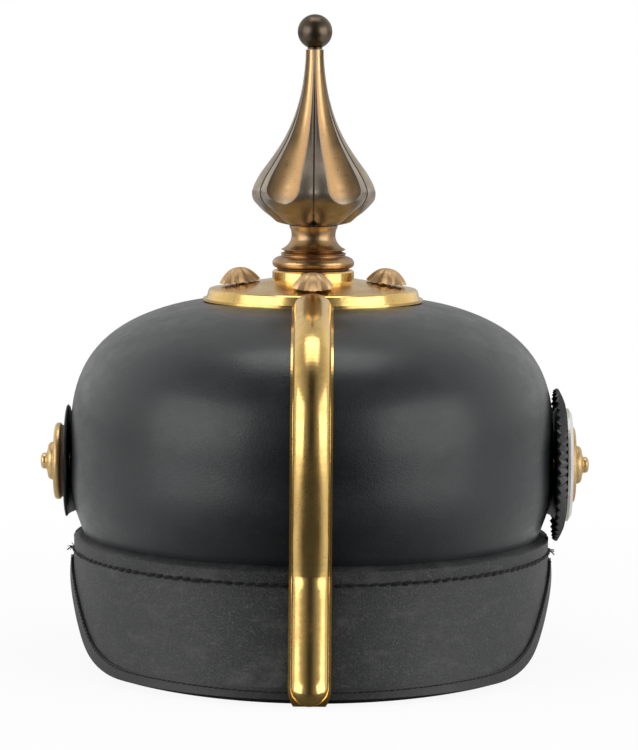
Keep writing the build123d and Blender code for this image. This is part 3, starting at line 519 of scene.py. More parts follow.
def grid(
    rows: list[list[Vector]], loop: bool = False, capped: bool = False, into: bmesh.types.BMesh | None = None
) -> bmesh.types.BMesh:
    """Makes a skin of rings of points.

    Args:
        rows: Rings, all with the same number of points.
        loop: Whether the last ring joins the first.
        capped: Whether the first and last rings are filled.
        into: Mesh data to add the skin to, if any.

    Returns:
        The mesh data.
    """
    mesh = into or bmesh.new()
    verts = [[mesh.verts.new(point) for point in row] for row in rows]
    width = len(rows[0])
    for i in range(len(rows) if loop else len(rows) - 1):
        above, below = verts[i], verts[(i + 1) % len(rows)]
        for j in range(width):
            k = (j + 1) % width
            mesh.faces.new((above[j], above[k], below[k], below[j]))
    if capped:
        mesh.faces.new(verts[0])
        mesh.faces.new(verts[-1][::-1])
    return mesh


def between(a: float, b: float, c: float, d: float, share: float) -> float:
    """Draws a smooth curve from b to c.

    Args:
        a: Value before b.
        b: Value at the start.
        c: Value at the end.
        d: Value after c.
        share: Share of the way from b to c.

    Returns:
        The curve's value.
    """
    square = 2 * a - 5 * b + 4 * c - d
    cube = 3 * b - a - 3 * c + d
    return 0.5 * (2 * b + (c - a) * share + square * share**2 + cube * share**3)


def eased(points: Profile, count: int) -> list[tuple[float, float]]:
    """Draws a smooth curve through points of a plane.

    Args:
        points: The points.
        count: Steps between two points.

    Returns:
        The curve's points.
    """
    padded = [points[0], *points, points[-1]]
    out = []
    for near in zip(padded, padded[1:], padded[2:], padded[3:]):
        for step in range(count):
            out.append(tuple(between(*values, step / count) for values in zip(*near)))
    return [*out, points[-1]]


def tube(mesh: bmesh.types.BMesh, points: list[Vector], radii: list[float], sides: int = 6) -> None:
    """Adds a closed tube along a short line.

    Args:
        mesh: Mesh data to add it to.
        points: Points of the middle line.
        radii: Radius at each point.
        sides: Number of sides.
    """
    along = (points[-1] - points[0]).normalized()
    first = along.orthogonal().normalized()
    second = along.cross(first)
    rows = [
        [point + radius * (math.cos(turn) * first + math.sin(turn) * second) for turn in full_turn(sides)]
        for point, radius in zip(points, radii)
    ]
    grid(rows, capped=True, into=mesh)


class Cover:
    """The faces of some nodes, for laying fine pieces on."""

    def __init__(self, *nodes: str) -> None:
        """Takes the nodes' faces.

        Args:
            nodes: Names of the nodes.
        """
        mesh = bmesh.new()
        for node in nodes:
            mesh.from_mesh(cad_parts[node].data)
        self.tree = BVHTree.FromBMesh(mesh)
        mesh.free()

    def hit(self, start: Vector, towards: Vector, reach: float) -> Hit | None:
        """Finds the first face on a ray.

        Args:
            start: Start of the ray.
            towards: Its direction.
            reach: Its length.

        Returns:
            The place and its outward normal, or None.
        """
        place, normal, _, _ = self.tree.ray_cast(start, towards, reach)
        if place is None:
            return None
        return place, (-normal if normal.dot(towards) > 0 else normal)

    def wall(self, turn: float, height: float) -> Hit | None:
        """Finds the face that is met from outside at a turn and a height.

        Args:
            turn: Turn about the spike's axis, in radians.
            height: Height of the face.

        Returns:
            The place and its outward normal, or None.
        """
        wide, long = RIM_OVAL
        out = Vector((wide * math.cos(turn), long * math.sin(turn), 0))
        return self.hit(out * RAY_START_SHARE + Vector((0, 0, height)), -out.normalized(), RAY_LENGTH)

    def edge(self, turn: float, inside: float, outside: float) -> Hit | None:
        """Finds a wall's edge by halving.

        Args:
            turn: Turn about the spike's axis, in radians.
            inside: A height on the wall.
            outside: A height beyond it.

        Returns:
            The place just inside the edge and its outward normal, or None.
        """
        for _ in range(HALVINGS):
            middle = (inside + outside) / 2
            if self.wall(turn, middle):
                inside = middle
            else:
                outside = middle
        return self.wall(turn, inside)


@dataclass(frozen=True)
class Stitching:
    """A row of hand-sewn stitches; angles are in degrees."""

    pitch: float
    length: float
    width: float
    rise: float
    slant: float
    wander: float
    uneven: float
    seed: int
    sunk: float = 0.3
    taper: float = 0.75
    steps: tuple[float, ...] = (-1.0, -0.8, -0.4, 0.0, 0.4, 0.8, 1.0)

    def spaced(self, line: Line) -> list[tuple[Vector, Vector, Vector]]:
        """Spaces the stitches evenly.

        Args:
            line: Points on the leather, with their normals.

        Returns:
            Each stitch's middle, normal and direction.
        """
        out = []
        gap = self.pitch / 2
        for (start, first), (end, second) in zip(line, line[1:]):
            step = (end - start).length
            while gap <= step:
                share = gap / step
                normal = first.lerp(second, share).normalized()
                out.append((start.lerp(end, share), normal, (end - start).normalized()))
                gap += self.pitch
            gap -= step
        return out

    def sew(self, mesh: bmesh.types.BMesh, line: Line) -> None:
        """Adds the row to mesh data.

        Args:
            mesh: Mesh data to add it to.
            line: Points on the leather, with their normals.
        """
        draw = random.Random(self.seed)
        for place, normal, along in self.spaced(line):
            turn = math.radians(self.slant + draw.uniform(-self.wander, self.wander))
            way = Matrix.Rotation(turn, 3, normal) @ along
            half = self.length / 2 * draw.uniform(1 - self.uneven, 1 + self.uneven)
            thick = self.width / 2 * draw.uniform(1 - self.uneven, 1 + self.uneven)
            points = [
                place + way * half * step + normal * (self.rise * (1 - step * step) - self.sunk * thick)
                for step in self.steps
            ]
            tube(mesh, points, [thick * (1 - self.taper * step**4) for step in self.steps])


@dataclass(frozen=True)
class Softbox:
    """An area lamp, with its power in watts."""

    name: str
    place: Point
    size: tuple[float, float]
    power: float

    def build(self, target: Vector) -> None:
        """Adds the lamp.

        Args:
            target: What it points at.
        """
        data = bpy.data.lights.new(self.name, "AREA")
        data.shape = "RECTANGLE"
        data.size, data.size_y = self.size
        data.energy = self.power
        lamp = bpy.data.objects.new(self.name, data)
        bpy.context.scene.collection.objects.link(lamp)
        place = Vector(self.place)
        turned = (target - place).to_track_quat("-Z", "Y").to_matrix().to_4x4()
        lamp.matrix_world = Matrix.Translation(place) @ turned


@dataclass
class Studio:
    """Camera, lights, floor and background; angles are in degrees, focal and frame height in pixels."""

    distance: float = 1.6
    height: float = 0.2604
    aim: float = 0.0026
    pitch: float = 5.375
    roll: float = 0.45
    focal: float = 4072.0
    frame_height: float = 750.0
    sensor: float = 36.0
    floor_size: float = 400.0
    middle: Point = (0.0, 0.0, 0.12)
    softboxes: tuple[Softbox, ...] = (
        Softbox("softbox_left", (-1.05, -0.62, 0.32), (1.15, 1.0), 6.5),
        Softbox("softbox_right", (1.05, -0.62, 0.32), (1.15, 1.0), 6.5),
        Softbox("top", (0.0, 0.1, 1.3), (0.9, 0.6), 4.0),
    )

    def camera(self) -> None:
        """Sets the camera at the photograph's viewing angle."""
        data = bpy.data.cameras.new("view")
        data.sensor_width = self.sensor
        data.lens = self.focal * self.sensor / self.frame_height
        data.clip_end = 20.0
        camera = bpy.data.objects.new("view", data)
        bpy.context.scene.collection.objects.link(camera)
        tilt = Matrix.Rotation(math.radians(90 - self.pitch), 4, "X")
        spin = Matrix.Rotation(math.radians(self.roll), 4, "Z")
        camera.matrix_world = Matrix.Translation((self.aim, -self.distance, self.height)) @ tilt @ spin
        bpy.context.scene.camera = camera

    def floor(self) -> None:
        """Adds a pale floor: nearly white to the camera, darker in reflections on the viewer's side."""
        bpy.ops.mesh.primitive_plane_add(size=self.floor_size, location=(0, 0, 0))
        floor = bpy.context.active_object
        floor.name = "floor"
        shader = Shader("pale_floor")
        shader.set("Roughness", 0.9)
        seen = shader.add("ShaderNodeLightPath").outputs["Is Camera Ray"]
        corner = shader.calculate(Calculation.SUM, *shader.axes())
        dark_front = shader.grey(corner, to=(0.04, 0.85), over=(-0.16, 0.1))
        tone = shader.calculate(Calculation.LARGER, dark_front, seen)
        shader.link(tone, shader.surface.inputs["Base Color"])
        reach = shader.add("ShaderNodeVectorMath", operation="LENGTH")
        shader.link(shader.place, reach.inputs[0])
        away = shader.grey(reach.outputs["Value"], to=(0.92, 1.0), over=(0.16, 0.5))
        mix = shader.add("ShaderNodeMixShader")
        glow = shader.add("ShaderNodeEmission")
        shader.link(shader.calculate(Calculation.PRODUCT, seen, away), mix.inputs["Fac"])
        shader.link(shader.surface.outputs["BSDF"], mix.inputs[1])
        shader.link(glow.outputs["Emission"], mix.inputs[2])
        shader.link(mix.outputs["Shader"], shader.tree.nodes["Material Output"].inputs["Surface"])
        floor.data.materials.append(shader.material)

    def world(self) -> None:
        """Makes a white background whose reflections darken towards the viewer's side."""
        world = bpy.data.worlds.new("studio")
        world.use_nodes = True
        bpy.context.scene.world = world
        nodes = Nodes(world.node_tree, "Generated")
        beside, behind = nodes.axes()
        greys = (0.015, 0.5)
        glow = nodes.calculate(
            Calculation.SUM,
            nodes.grey(beside, to=greys, over=(0.12, 0.75)),
            nodes.grey(behind, to=greys, over=(-0.1, 0.7)),
        )
        pick = nodes.add("ShaderNodeMix")
        pick.inputs["B"].default_value = 1.0
        nodes.link(nodes.add("ShaderNodeLightPath").outputs["Is Camera Ray"], pick.inputs["Factor"])
        nodes.link(glow, pick.inputs["A"])
        nodes.link(pick.outputs["Result"], nodes.tree.nodes["Background"].inputs["Color"])

    def build(self) -> None:
        """Sets up everything around the object."""
        bpy.context.scene.view_settings.view_transform = "Standard"
        self.camera()
        for softbox in self.softboxes:
            softbox.build(Vector(self.middle))
        self.floor()
        self.world()


@dataclass
class SubAssembly:
    """A group of pieces: build makes their meshes, and dress gives them their finishes."""

    made: list[bpy.types.Object] = field(default_factory=list, init=False)

    def add(
        self, name: str, mesh: bmesh.types.BMesh, body: Body = Body.HELMET, crease: float = 35.0
    ) -> bpy.types.Object:
        """Turns mesh data into a piece.

        Args:
            name: Name of the piece.
            mesh: Its mesh data, which is freed.
            body: Body that it rides on.
            crease: Angle in degrees from which an edge is shaded sharp.

        Returns:
            The new piece.
        """
        bmesh.ops.recalc_face_normals(mesh, faces=mesh.faces)
        data = bpy.data.meshes.new(name)
        mesh.to_mesh(data)
        mesh.free()
        data.shade_smooth()
        data.set_sharp_from_angle(angle=math.radians(crease))
        piece = bpy.data.objects.new(name, data)
        bpy.context.scene.collection.objects.link(piece)
        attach(piece, body.value)
        self.made.append(piece)
        LOG.info("made %s, %d faces", name, len(data.polygons))
        return piece

    def cover(self, shop: Workshop, slot: str, *finishes: Finish) -> None:
        """Finishes the pieces in the order in which they were made.

        Args:
            shop: Where the finishes are made.
            slot: Material slot that the finishes stand for; it is not used.
            finishes: Each piece's finish, or one for all.
        """
        for index, piece in enumerate(self.made):
            shop.dress(piece, finishes[min(index, len(finishes) - 1)])


@dataclass
class PlainParts(SubAssembly):
    """The CAD nodes and their finishes; a node whose shape is too plain has a piece that stands for it."""

    finishes: dict[Finish, tuple[str, ...]] = field(
        default_factory=lambda: {
            Finish.SKULL: ("skull",),
            Finish.VISOR: ("rear_visor", "front_visor"),
            Finish.BINDING: ("rear_visor_binding",),
            Finish.UNDER: ("rear_visor_lining",),
            Finish.GREEN: ("front_visor_lining",),
            Finish.BROWN: ("seat_washer", "left_spacer", "cockade_boss", "sweatband"),
            Finish.STRAP: ("strap_left", "strap_right"),
            Finish.GILT: ("front_visor_trim", "rear_spine", "base_disc", "base_collar", "strap_slides"),
            Finish.CAST: (
                "spine_nuts", "socket_bush", "bush_nut", "flower_screw_nuts",
                "rosette_left", "rosette_right", "rosette_nuts", "strap_eyelets",
            ),
            Finish.COPPER: ("flower_screws",),
            Finish.BRONZE: ("spike_neck", "spike_bulb"),
            Finish.DARK: ("spike_finial",),
            Finish.STEEL: ("crown_plate", "spike_rod", "rosette_washers"),
            Finish.SILVER: ("cockade_ring",),
            Finish.BLACK: ("cockade_disc",),
            Finish.SILK: ("lining",),
        }
    )

    def build(self) -> None:
        """Takes the nodes as they are."""
        self.made = [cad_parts[name] for names in self.finishes.values() for name in names]

    def dress(self, shop: Workshop) -> None:
        """Gives each node its finish.

        Args:
            shop: Where the finishes are made.
        """
        each = [finish for finish, names in self.finishes.items() for _ in names]
        for node, finish in zip(self.made, each):
            shop.dress(node, finish)


@dataclass
class Seams(SubAssembly):
    """The visors' seams: thick stitches at the rim, fine ones inside the edge; turns are in degrees."""

    crease_height: float = 41.7 * MM
    rear_ends: Span = (183.0, 357.0)
    front_ends: Span = (4.0, 176.0)
    steps: int = 360
    spine_clearance: float = 8.3 * MM
    edge_top: float = 38.2 * MM
    edge_inset: float = 3.3 * MM
    edge_lean: float = 0.04
    edge_smoothing: int = 3
    probe: float = 6 * MM
    crease: Stitching = Stitching(
        pitch=4.4 * MM, length=5.0 * MM, width=1.35 * MM, rise=0.5 * MM,
        slant=7.0, wander=6.0, uneven=0.22, seed=7,
    )
    edge: Stitching = Stitching(
        pitch=2.4 * MM, length=2.5 * MM, width=0.6 * MM, rise=0.1 * MM,
        slant=6.0, wander=5.0, uneven=0.12, seed=11,
    )
    threads: int = 7
    thread_lengths: Span = (1.6 * MM, 3.2 * MM)
    thread_radius: float = 0.16 * MM
    thread_spread: float = 0.8
    thread_droop: Span = (0.1, 0.6)

    def crease_line(self, cover: Cover, ends: Span) -> Line:
        """Finds the line along a visor's crease between two turns."""
        found = [cover.wall(turn, self.crease_height) for turn in turns_between(*ends, self.steps)]
        return [hit for hit in found if hit]

    def clear(self, line: Line) -> tuple[Line, Line]:
        """Splits a line in two where it would run under the spine."""
        left = [hit for hit in line if hit[0].x < -self.spine_clearance]
        return left, [hit for hit in line if hit[0].x > self.spine_clearance]

    def edge_line(self, cover: Cover) -> Line:
        """Finds the line just inside the rear visor's edge.

        Args:
            cover: The faces of the visor and its binding.

        Returns:
            The line's points.
        """
        turns = turns_between(*REAR_SPAN, self.steps)
        rim = [cover.edge(turn, self.edge_top, 0.0) for turn in turns if cover.wall(turn, self.edge_top)]
        rim = [hit for hit in rim if hit]
        line = []
        for before, here, after in zip(rim, rim[self.edge_smoothing :], rim[2 * self.edge_smoothing :]):
            place = here[0]
            out = Vector((place.x, place.y * 0.8, self.edge_lean)).normalized()
            inwards = out.cross((after[0] - before[0]).normalized()).normalized()
            if inwards.z < 0:
                inwards = -inwards
            hit = cover.hit(place + inwards * self.edge_inset + out * self.probe, -out, 2 * self.probe)
            if hit:
                line.append(hit)
        return line

    def loose_ends(self, mesh: bmesh.types.BMesh, end: Hit, seed: int) -> None:
        """Adds a tuft of loose, drooping thread where a seam ends.

        Args:
            mesh: Mesh data to add it to.
            end: The seam's end and its normal.
            seed: Seed of the tuft's shape.
        """
        draw = random.Random(seed)
        place, normal = end
        for _ in range(self.threads):
            aside = Vector([draw.uniform(-self.thread_spread, self.thread_spread) for _ in range(3)])
            aim = (normal + aside).normalized()
            droop = Vector((0, 0, -draw.uniform(*self.thread_droop)))
            length = draw.uniform(*self.thread_lengths)
            points = [place + (aim + droop * share) * length * share for share in shares(4)]
            tube(mesh, points, [self.thread_radius] * len(points), 5)

    def build(self) -> None:
        """Sews both visors."""
        mesh = bmesh.new()
        rear = self.crease_line(Cover("rear_visor"), self.rear_ends)
        for part in self.clear(rear):
            self.crease.sew(mesh, part)
        self.loose_ends(mesh, rear[0], 3)
        self.loose_ends(mesh, rear[-1], 5)
        self.add("rear_visor_crease_seam", mesh)
        mesh = bmesh.new()
        for part in self.clear(self.edge_line(Cover("rear_visor", "rear_visor_binding"))):
            self.edge.sew(mesh, part)
        self.add("rear_visor_edge_seam", mesh)
        mesh = bmesh.new()
        self.crease.sew(mesh, self.crease_line(Cover("front_visor"), self.front_ends))
        self.add("front_visor_crease_seam", mesh)

    def dress(self, shop: Workshop) -> None:
        """Waxes the thread."""
        self.cover(shop, "visor_leather", Finish.THREAD)


@dataclass
class FlangeLip(SubAssembly):
    """The thinned upper edge of the rear visor's flange, pressed to the skull."""

    on_flange: float = 45.0 * MM
    above: float = 52.0 * MM
    climb: float = 1.7 * MM
    steps: int = 240
    corner: Span = (0.1 * MM, -0.15 * MM)
    arris: Span = (-0.1 * MM, 0.12 * MM)
    bulge_share: float = 0.55
    bulge: float = 0.2 * MM
    tip: float = 0.2 * MM
    inner: float = 0.6 * MM

    def build(self) -> None:
        """Makes the lip as one closed strip."""
        visor, skull = Cover("rear_visor"), Cover("skull")
        up = Vector((0, 0, 1))
        rows = []
        for turn in turns_between(*REAR_SPAN, self.steps):
            edge = visor.edge(turn, self.on_flange, self.above)
            if edge is None:
                continue
            top = edge[0]
            wall = skull.wall(turn, top.z + self.climb)[0]
            out = level(wall)
            corner = top + out * self.corner[0] + up * self.corner[1]
            arris = top + out * self.arris[0] + up * self.arris[1]
            bulge = top.lerp(wall, self.bulge_share) + up * self.bulge
            inner = Vector((wall.x, wall.y, corner.z)) - out * self.inner
            rows.append([corner, arris, bulge, wall + out * self.tip, wall - out * self.tip, inner])
        self.add("flange_lip", grid(rows, capped=True), crease=30.0)

    def dress(self, shop: Workshop) -> None:
        """Gives the lip the visor's leather."""
        self.cover(shop, "visor_leather", Finish.VISOR)


@dataclass
class Spine(SubAssembly):
    """The brass spine: a half-round bead with thin edges, a round foot and a hook; rises are in degrees."""

    half_width: float = 7.95 * MM
    bead: float = 7.1 * MM
    bead_end: float = 0.3
    depth: float = 5.0 * MM
    sheet: float = 0.8 * MM
    sheet_thinning: float = 0.4
    rim: Span = (0.1 * MM, 0.6 * MM)
    arc_steps: int = 18
    centre: Point = (0.0, -0.03, 0.06)
    reach: float = 0.22
    rises: Span = (80.0, -35.0)
    steps: int = 360
    top_run: float = 4 * MM
    top_narrowing: float = 0.1
    top_flattening: float = 0.35
    foot_run: float = 10.0 * MM
    foot_narrowing: float = 0.4
    foot_top: float = 2.7 * MM
    foot_height: float = 0.3 * MM
    curl: float = 1.4 * MM
    curl_back: float = 3.4 * MM
    curl_hollow: float = 0.2 * MM
    curl_steps: int = 7
    flat: float = 0.08
    hook: float = 13.0 * MM
    hook_widths: Span = (0.6, 0.64)
    hook_steps: tuple[float, ...] = (0.4, 0.8, 1.0)
    outward: float = 0.3

    def crest(self) -> Line:
        """Finds the crest on the CAD spine.

        Returns:
            Its places and normals, from the top to the foot.
        """
        cover = Cover("rear_spine")
        line = []
        for rise in turns_between(*self.rises, self.steps):
            out = Vector((0, -math.cos(rise), math.sin(rise)))
            hit = cover.hit(Vector(self.centre) + out * self.reach, -out, self.reach)
            if hit and hit[0].z > self.foot_top and hit[1].dot(out) > self.outward:
                line.append(hit)
        return line

    def section(self, place: Vector, out: Vector, wide: float, deep: float) -> list[Vector]:
        """Draws the bead's closed section.

        Args:
            place: The section's crest.
            out: Its outward direction.
            wide: Share of the full width.
            deep: Share of the full depth.

        Returns:
            The section's points.
        """
        turns = [math.pi * (share - 0.5) for share in shares(self.arc_steps)]
        outer = [(math.sin(turn), 1 - math.cos(turn)) for turn in turns]
        half = self.bead * wide * (self.bead_end + (1 - self.bead_end) * deep)
        drop = self.depth * deep
        front = [(half * x, -drop * y) for x, y in outer]
        rim = [(self.half_width * wide, -drop - rise) for rise in self.rim]
        back = [
            ((half - self.sheet) * x, -drop * y - self.sheet * (1 - self.sheet_thinning * y))
            for x, y in reversed(outer)
        ]
        ring = [*front, *rim, *back, *[(-x, y) for x, y in reversed(rim)]]
        return [place + Vector((x, 0, 0)) + out * y for x, y in ring]

    def narrowed(self, left: float) -> float:
        """Returns the share of the full width at a distance before the foot's end."""
        return 1 - self.foot_narrowing * max(0.0, 1 - left / self.foot_run) ** 3

    def along_crest(self) -> tuple[list[list[Vector]], Vector, Vector]:
        """Sweeps the section along the crest.

        Returns:
            The sections, and the last one's place and outward direction.
        """
        line = self.crest()
        steps = [0.0, *((b[0] - a[0]).length for a, b in zip(line, line[1:]))]
        total = sum(steps)
        gone = 0.0
        rows = []
        for (crest, normal), step in zip(line, steps):
            gone += step
            out = Vector((0, normal.y, normal.z)).normalized()
            start = max(0.0, 1 - gone / self.top_run) ** 2
            closing = max(0.0, 1 - (total - gone) / self.bead)
            wide = self.narrowed(total + self.curl - gone) * (1 - self.top_narrowing * start)
            deep = self.flat + (1 - self.flat) * math.sqrt(1 - closing**2)
            deep *= 1 - self.top_flattening * start
            place = Vector((0, crest.y, crest.z)) - out * self.depth * (1 - deep)
            rows.append(self.section(place, out, wide, deep))
        return rows, place, out

    def build(self) -> None:
        """Sweeps the section along the crest, around the foot and under the visor."""
        rows, end, out = self.along_crest()
        down = Vector((0, 0, -1))
        for share in shares(self.curl_steps)[1:]:
            quarter = share * math.pi / 2
            low = end.z + (self.foot_height - end.z) * math.sin(quarter)
            back = end.y + self.curl_back * (1 - math.cos(quarter)) - self.curl_hollow * math.sin(2 * quarter)
            way = out.lerp(down, share).normalized()
            wide = self.narrowed(self.curl * (1 - share))
            rows.append(self.section(Vector((0, back, low)), way, wide, self.flat))
        start, end = self.hook_widths
        for share in self.hook_steps:
            place = Vector((0, back + self.hook * share, self.foot_height))
            rows.append(self.section(place, down, start + (end - start) * share, self.flat))
        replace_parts(self.add("beaded_spine", grid(rows, capped=True)), "rear_spine")

    def dress(self, shop: Workshop) -> None:
        """Gilds the spine."""
        self.cover(shop, "gilt_brass", Finish.GILT)


@dataclass
class Sweatband(SubAssembly):
    """Leather head band whose top is cut into tongues."""

    foot: float = 86.0 * MM
    top: float = 85.45 * MM
    low: float = 38.6 * MM
    high: float = 65.9 * MM
    leather: float = 0.9 * MM
    tongues: int = 10
    notch: float = 11.0 * MM
    notch_share: float = 0.05
    ripple: float = 0.35 * MM
    ripples: int = 30
    columns: int = 320
    levels: int = 10

    def ring(self, share: float, inset: float) -> list[Vector]:
        """Draws a ring of the band.

        Args:
            share: Share of the band's height.
            inset: How far it lies inside the outer face.

        Returns:
            The ring's points.
        """
        out = []
        for turn in full_turn(self.columns):
            phase = (turn * self.tongues / math.tau) % 1
            tongue = 1 - math.exp(-((min(phase, 1 - phase) / self.notch_share) ** 2))
            high = self.high - self.notch * (1 - tongue)
            wide = self.foot + (self.top - self.foot) * share - inset
            wide -= self.ripple * share * (1 + math.sin(self.ripples * turn)) * 0.5
            height = self.low + (high - self.low) * share
            out.append(Vector((wide * math.cos(turn), wide * LENGTH_SHARE * math.sin(turn), height)))
        return out

    def build(self) -> None:
        """Makes the band."""
        rows = [self.ring(share, 0.0) for share in shares(self.levels)]
        rows += [self.ring(share, self.leather) for share in reversed(shares(self.levels))]
        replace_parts(self.add("tongued_band", grid(rows, loop=True)), "sweatband")

    def dress(self, shop: Workshop) -> None:
        """Gives the band its brown leather."""
        self.cover(shop, "brown_leather", Finish.BROWN)


@dataclass
class Lining(SubAssembly):
    """Silk lining, gathered in pleats to a round mouth under the crown."""

    wide: float = 84.3 * MM
    mouth: float = 26.2 * MM
    low: float = 62.0 * MM
    rise: float = 62.8 * MM
    cloth: float = 0.5 * MM
    curve: Profile = (
        (1.0, 0.0), (0.99, 0.28), (0.93, 0.58), (0.78, 0.83), (0.5, 0.96), (0.1, 1.0), (0.0, 1.0),
    )
    gathers: int = 44
    unevenness: float = 0.7
    depth: float = 2.2 * MM
    foot_pull: float = 0.12
    pull_growth: float = 1.4
    mouth_share: float = 0.5
    mouth_pull: float = 0.4
    wall_share: float = 0.9
    columns: int = 528
    flat: tuple[float, float] = (0.57, 0.1)

    def ring(self, out_share: float, up_share: float, inset: float) -> list[Vector]:
        """Draws a ring of the cloth.

        Args:
            out_share: Share of the way out from the mouth.
            up_share: Share of the cloth's rise.
            inset: How far it lies inside the outer face.

        Returns:
            The ring's points.
        """
        ring = []
        pull = min(1.0, self.foot_pull + self.pull_growth * (1 - out_share))
        inwards = self.mouth_pull if out_share < self.mouth_share else 1.0
        wide = self.mouth + (self.wide - self.mouth) * out_share - inset
        for turn in full_turn(self.columns):
            fold = 0.5 - 0.5 * math.cos(self.gathers * turn + self.unevenness * math.sin(5 * turn))
            sag = self.depth * fold * pull
            side = wide - sag * inwards
            height = self.low + self.rise * up_share - inset
            if out_share < self.wall_share:
                height -= sag
            ring.append(Vector((side * math.cos(turn), side * LENGTH_SHARE * math.sin(turn), height)))
        return ring

    def build(self) -> None:
        """Makes the cloth."""
        line = eased(self.curve, 5)
        rows = [self.ring(out, up, 0.0) for out, up in line]
        rows += [self.ring(out, up, self.cloth) for out, up in reversed(line)]
        made = self.add("gathered_lining", grid(rows, loop=True), crease=60.0)
        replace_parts(made, "lining")

    def dress(self, shop: Workshop) -> None:
        """Gives the lining its silk."""
        self.cover(shop, "silk", Finish.SILK)


@dataclass
class ChinStrap(SubAssembly):
    """The two leather straps, laid above the front visor."""

    lug_radius: float = 22.4 * MM
    lug_end: float = 0.995
    lug_steps: int = 24
    near: float = 95.75 * MM
    leather: float = 1.35 * MM
    reach: float = 117.55 * MM
    middle_reach: float = 117.5 * MM
    lap_rise: float = 3.2 * MM
    lap: float = 39.5 * MM
    half_width: float = 8.4 * MM
    pivot: float = 75.0 * MM
    front_height: float = 43.0 * MM
    taper: float = 58.75 * MM
    shoulder: float = 6.75 * MM
    shoulder_height: float = 21.2 * MM
    end_round: float = 8 * MM
    end_width: float = 0.02
    steps: int = 150
    edge_section: Profile = (
        (-1.0, 0.1), (-0.975, 0.75), (-0.93, 1.0), (-0.86, 1.0), (-0.82, 0.7), (-0.78, 1.0),
    )
    middle_section: Profile = ((-0.3, 1.08), (0.3, 1.08))
    back_section: Profile = ((0.975, -0.75), (0.9, -1.0), (-0.9, -1.0), (-0.975, -0.75))

    def middle(self, reach: float) -> float:
        """Returns the height of the strap's middle line at a reach to the front."""
        return self.pivot - (self.pivot - self.front_height) * reach / self.middle_reach

    def edges(self, reach: float) -> tuple[float, float]:
        """Finds the strap's edges: round at the lug, then tapering to the strap's width.

        Args:
            reach: Distance to the front of the side screws.

        Returns:
            The heights of the upper and lower edges.
        """
        if reach > self.taper:
            return self.middle(reach) + self.half_width, self.middle(reach) - self.half_width
        upper = math.sqrt(max(0.0, self.lug_radius**2 - reach**2))
        lower = -upper
        drop = self.middle(self.taper) - self.pivot
        if reach > self.shoulder:
            share = (reach - self.shoulder) / (self.taper - self.shoulder)
            upper = self.shoulder_height + (drop + self.half_width - self.shoulder_height) * share
        if reach > -self.shoulder:
            share = (reach + self.shoulder) / (self.taper + self.shoulder)
            lower = -self.shoulder_height + (drop - self.half_width + self.shoulder_height) * share
        return self.pivot + upper, self.pivot + lower

    def section(self, place: Vector, out: Vector, squeeze: float) -> list[Vector]:
        """Draws the strap's section: rounded edges, and a pressed line near each edge.

        Args:
            place: Middle of the leather, seen from above.
            out: Outward direction.
            squeeze: Share of the full width, below 1 at a rounded end.

        Returns:
            The section's points.
        """
        high, low = self.edges(place.y)
        middle, half = (high + low) / 2, (high - low) / 2 * squeeze
        thick = self.leather / 2
        far_edge = [(-v, h) for v, h in reversed(self.edge_section)]
        ring = [*self.edge_section, *self.middle_section, *far_edge, *self.back_section]
        return [Vector((*(place + out * thick * h).to_2d(), middle + half * v)) for v, h in ring]

    def strap(self, side: Side, rise: float) -> bmesh.types.BMesh:
        """Makes one strap from its lug forward past the middle.

        Args:
            side: Side that it is fixed on.
            rise: How far its front lies outside the inner strap.

        Returns:
            The mesh data.
        """
        width = self.near + self.leather / 2
        length = self.reach + rise + self.leather / 2
        rows = []
        for index in range(self.lug_steps):
            back = self.lug_end * self.lug_radius * math.cos(math.pi / 2 * index / self.lug_steps)
            rows.append(self.section(Vector((side.value * width, -back, 0)), Vector((side.value, 0, 0)), 1.0))
        last = math.pi / 2 + math.asin(self.lap / width)
        for share in shares(self.steps):
            turn = last * share
            place = Vector((side.value * width * math.cos(turn), length * math.sin(turn), 0))
            out = Vector((side.value * math.cos(turn) / width, math.sin(turn) / length, 0)).normalized()
            rounding = max(0.0, 1 - (last - turn) * length / self.end_round)
            rows.append(self.section(place, out, math.sqrt(max(self.end_width, 1 - rounding**2))))
        return grid(rows, capped=True)

    def build(self) -> None:
        """Makes both straps."""
        for side, rise in ((Side.LEFT, 0.0), (Side.RIGHT, self.lap_rise)):
            name = side.name.lower()
            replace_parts(self.add(f"chin_strap_{name}", self.strap(side, rise), Body.STRAP), f"strap_{name}")

    def dress(self, shop: Workshop) -> None:
        """Gives the straps their waxed leather."""
        self.cover(shop, "strap_leather", Finish.STRAP)


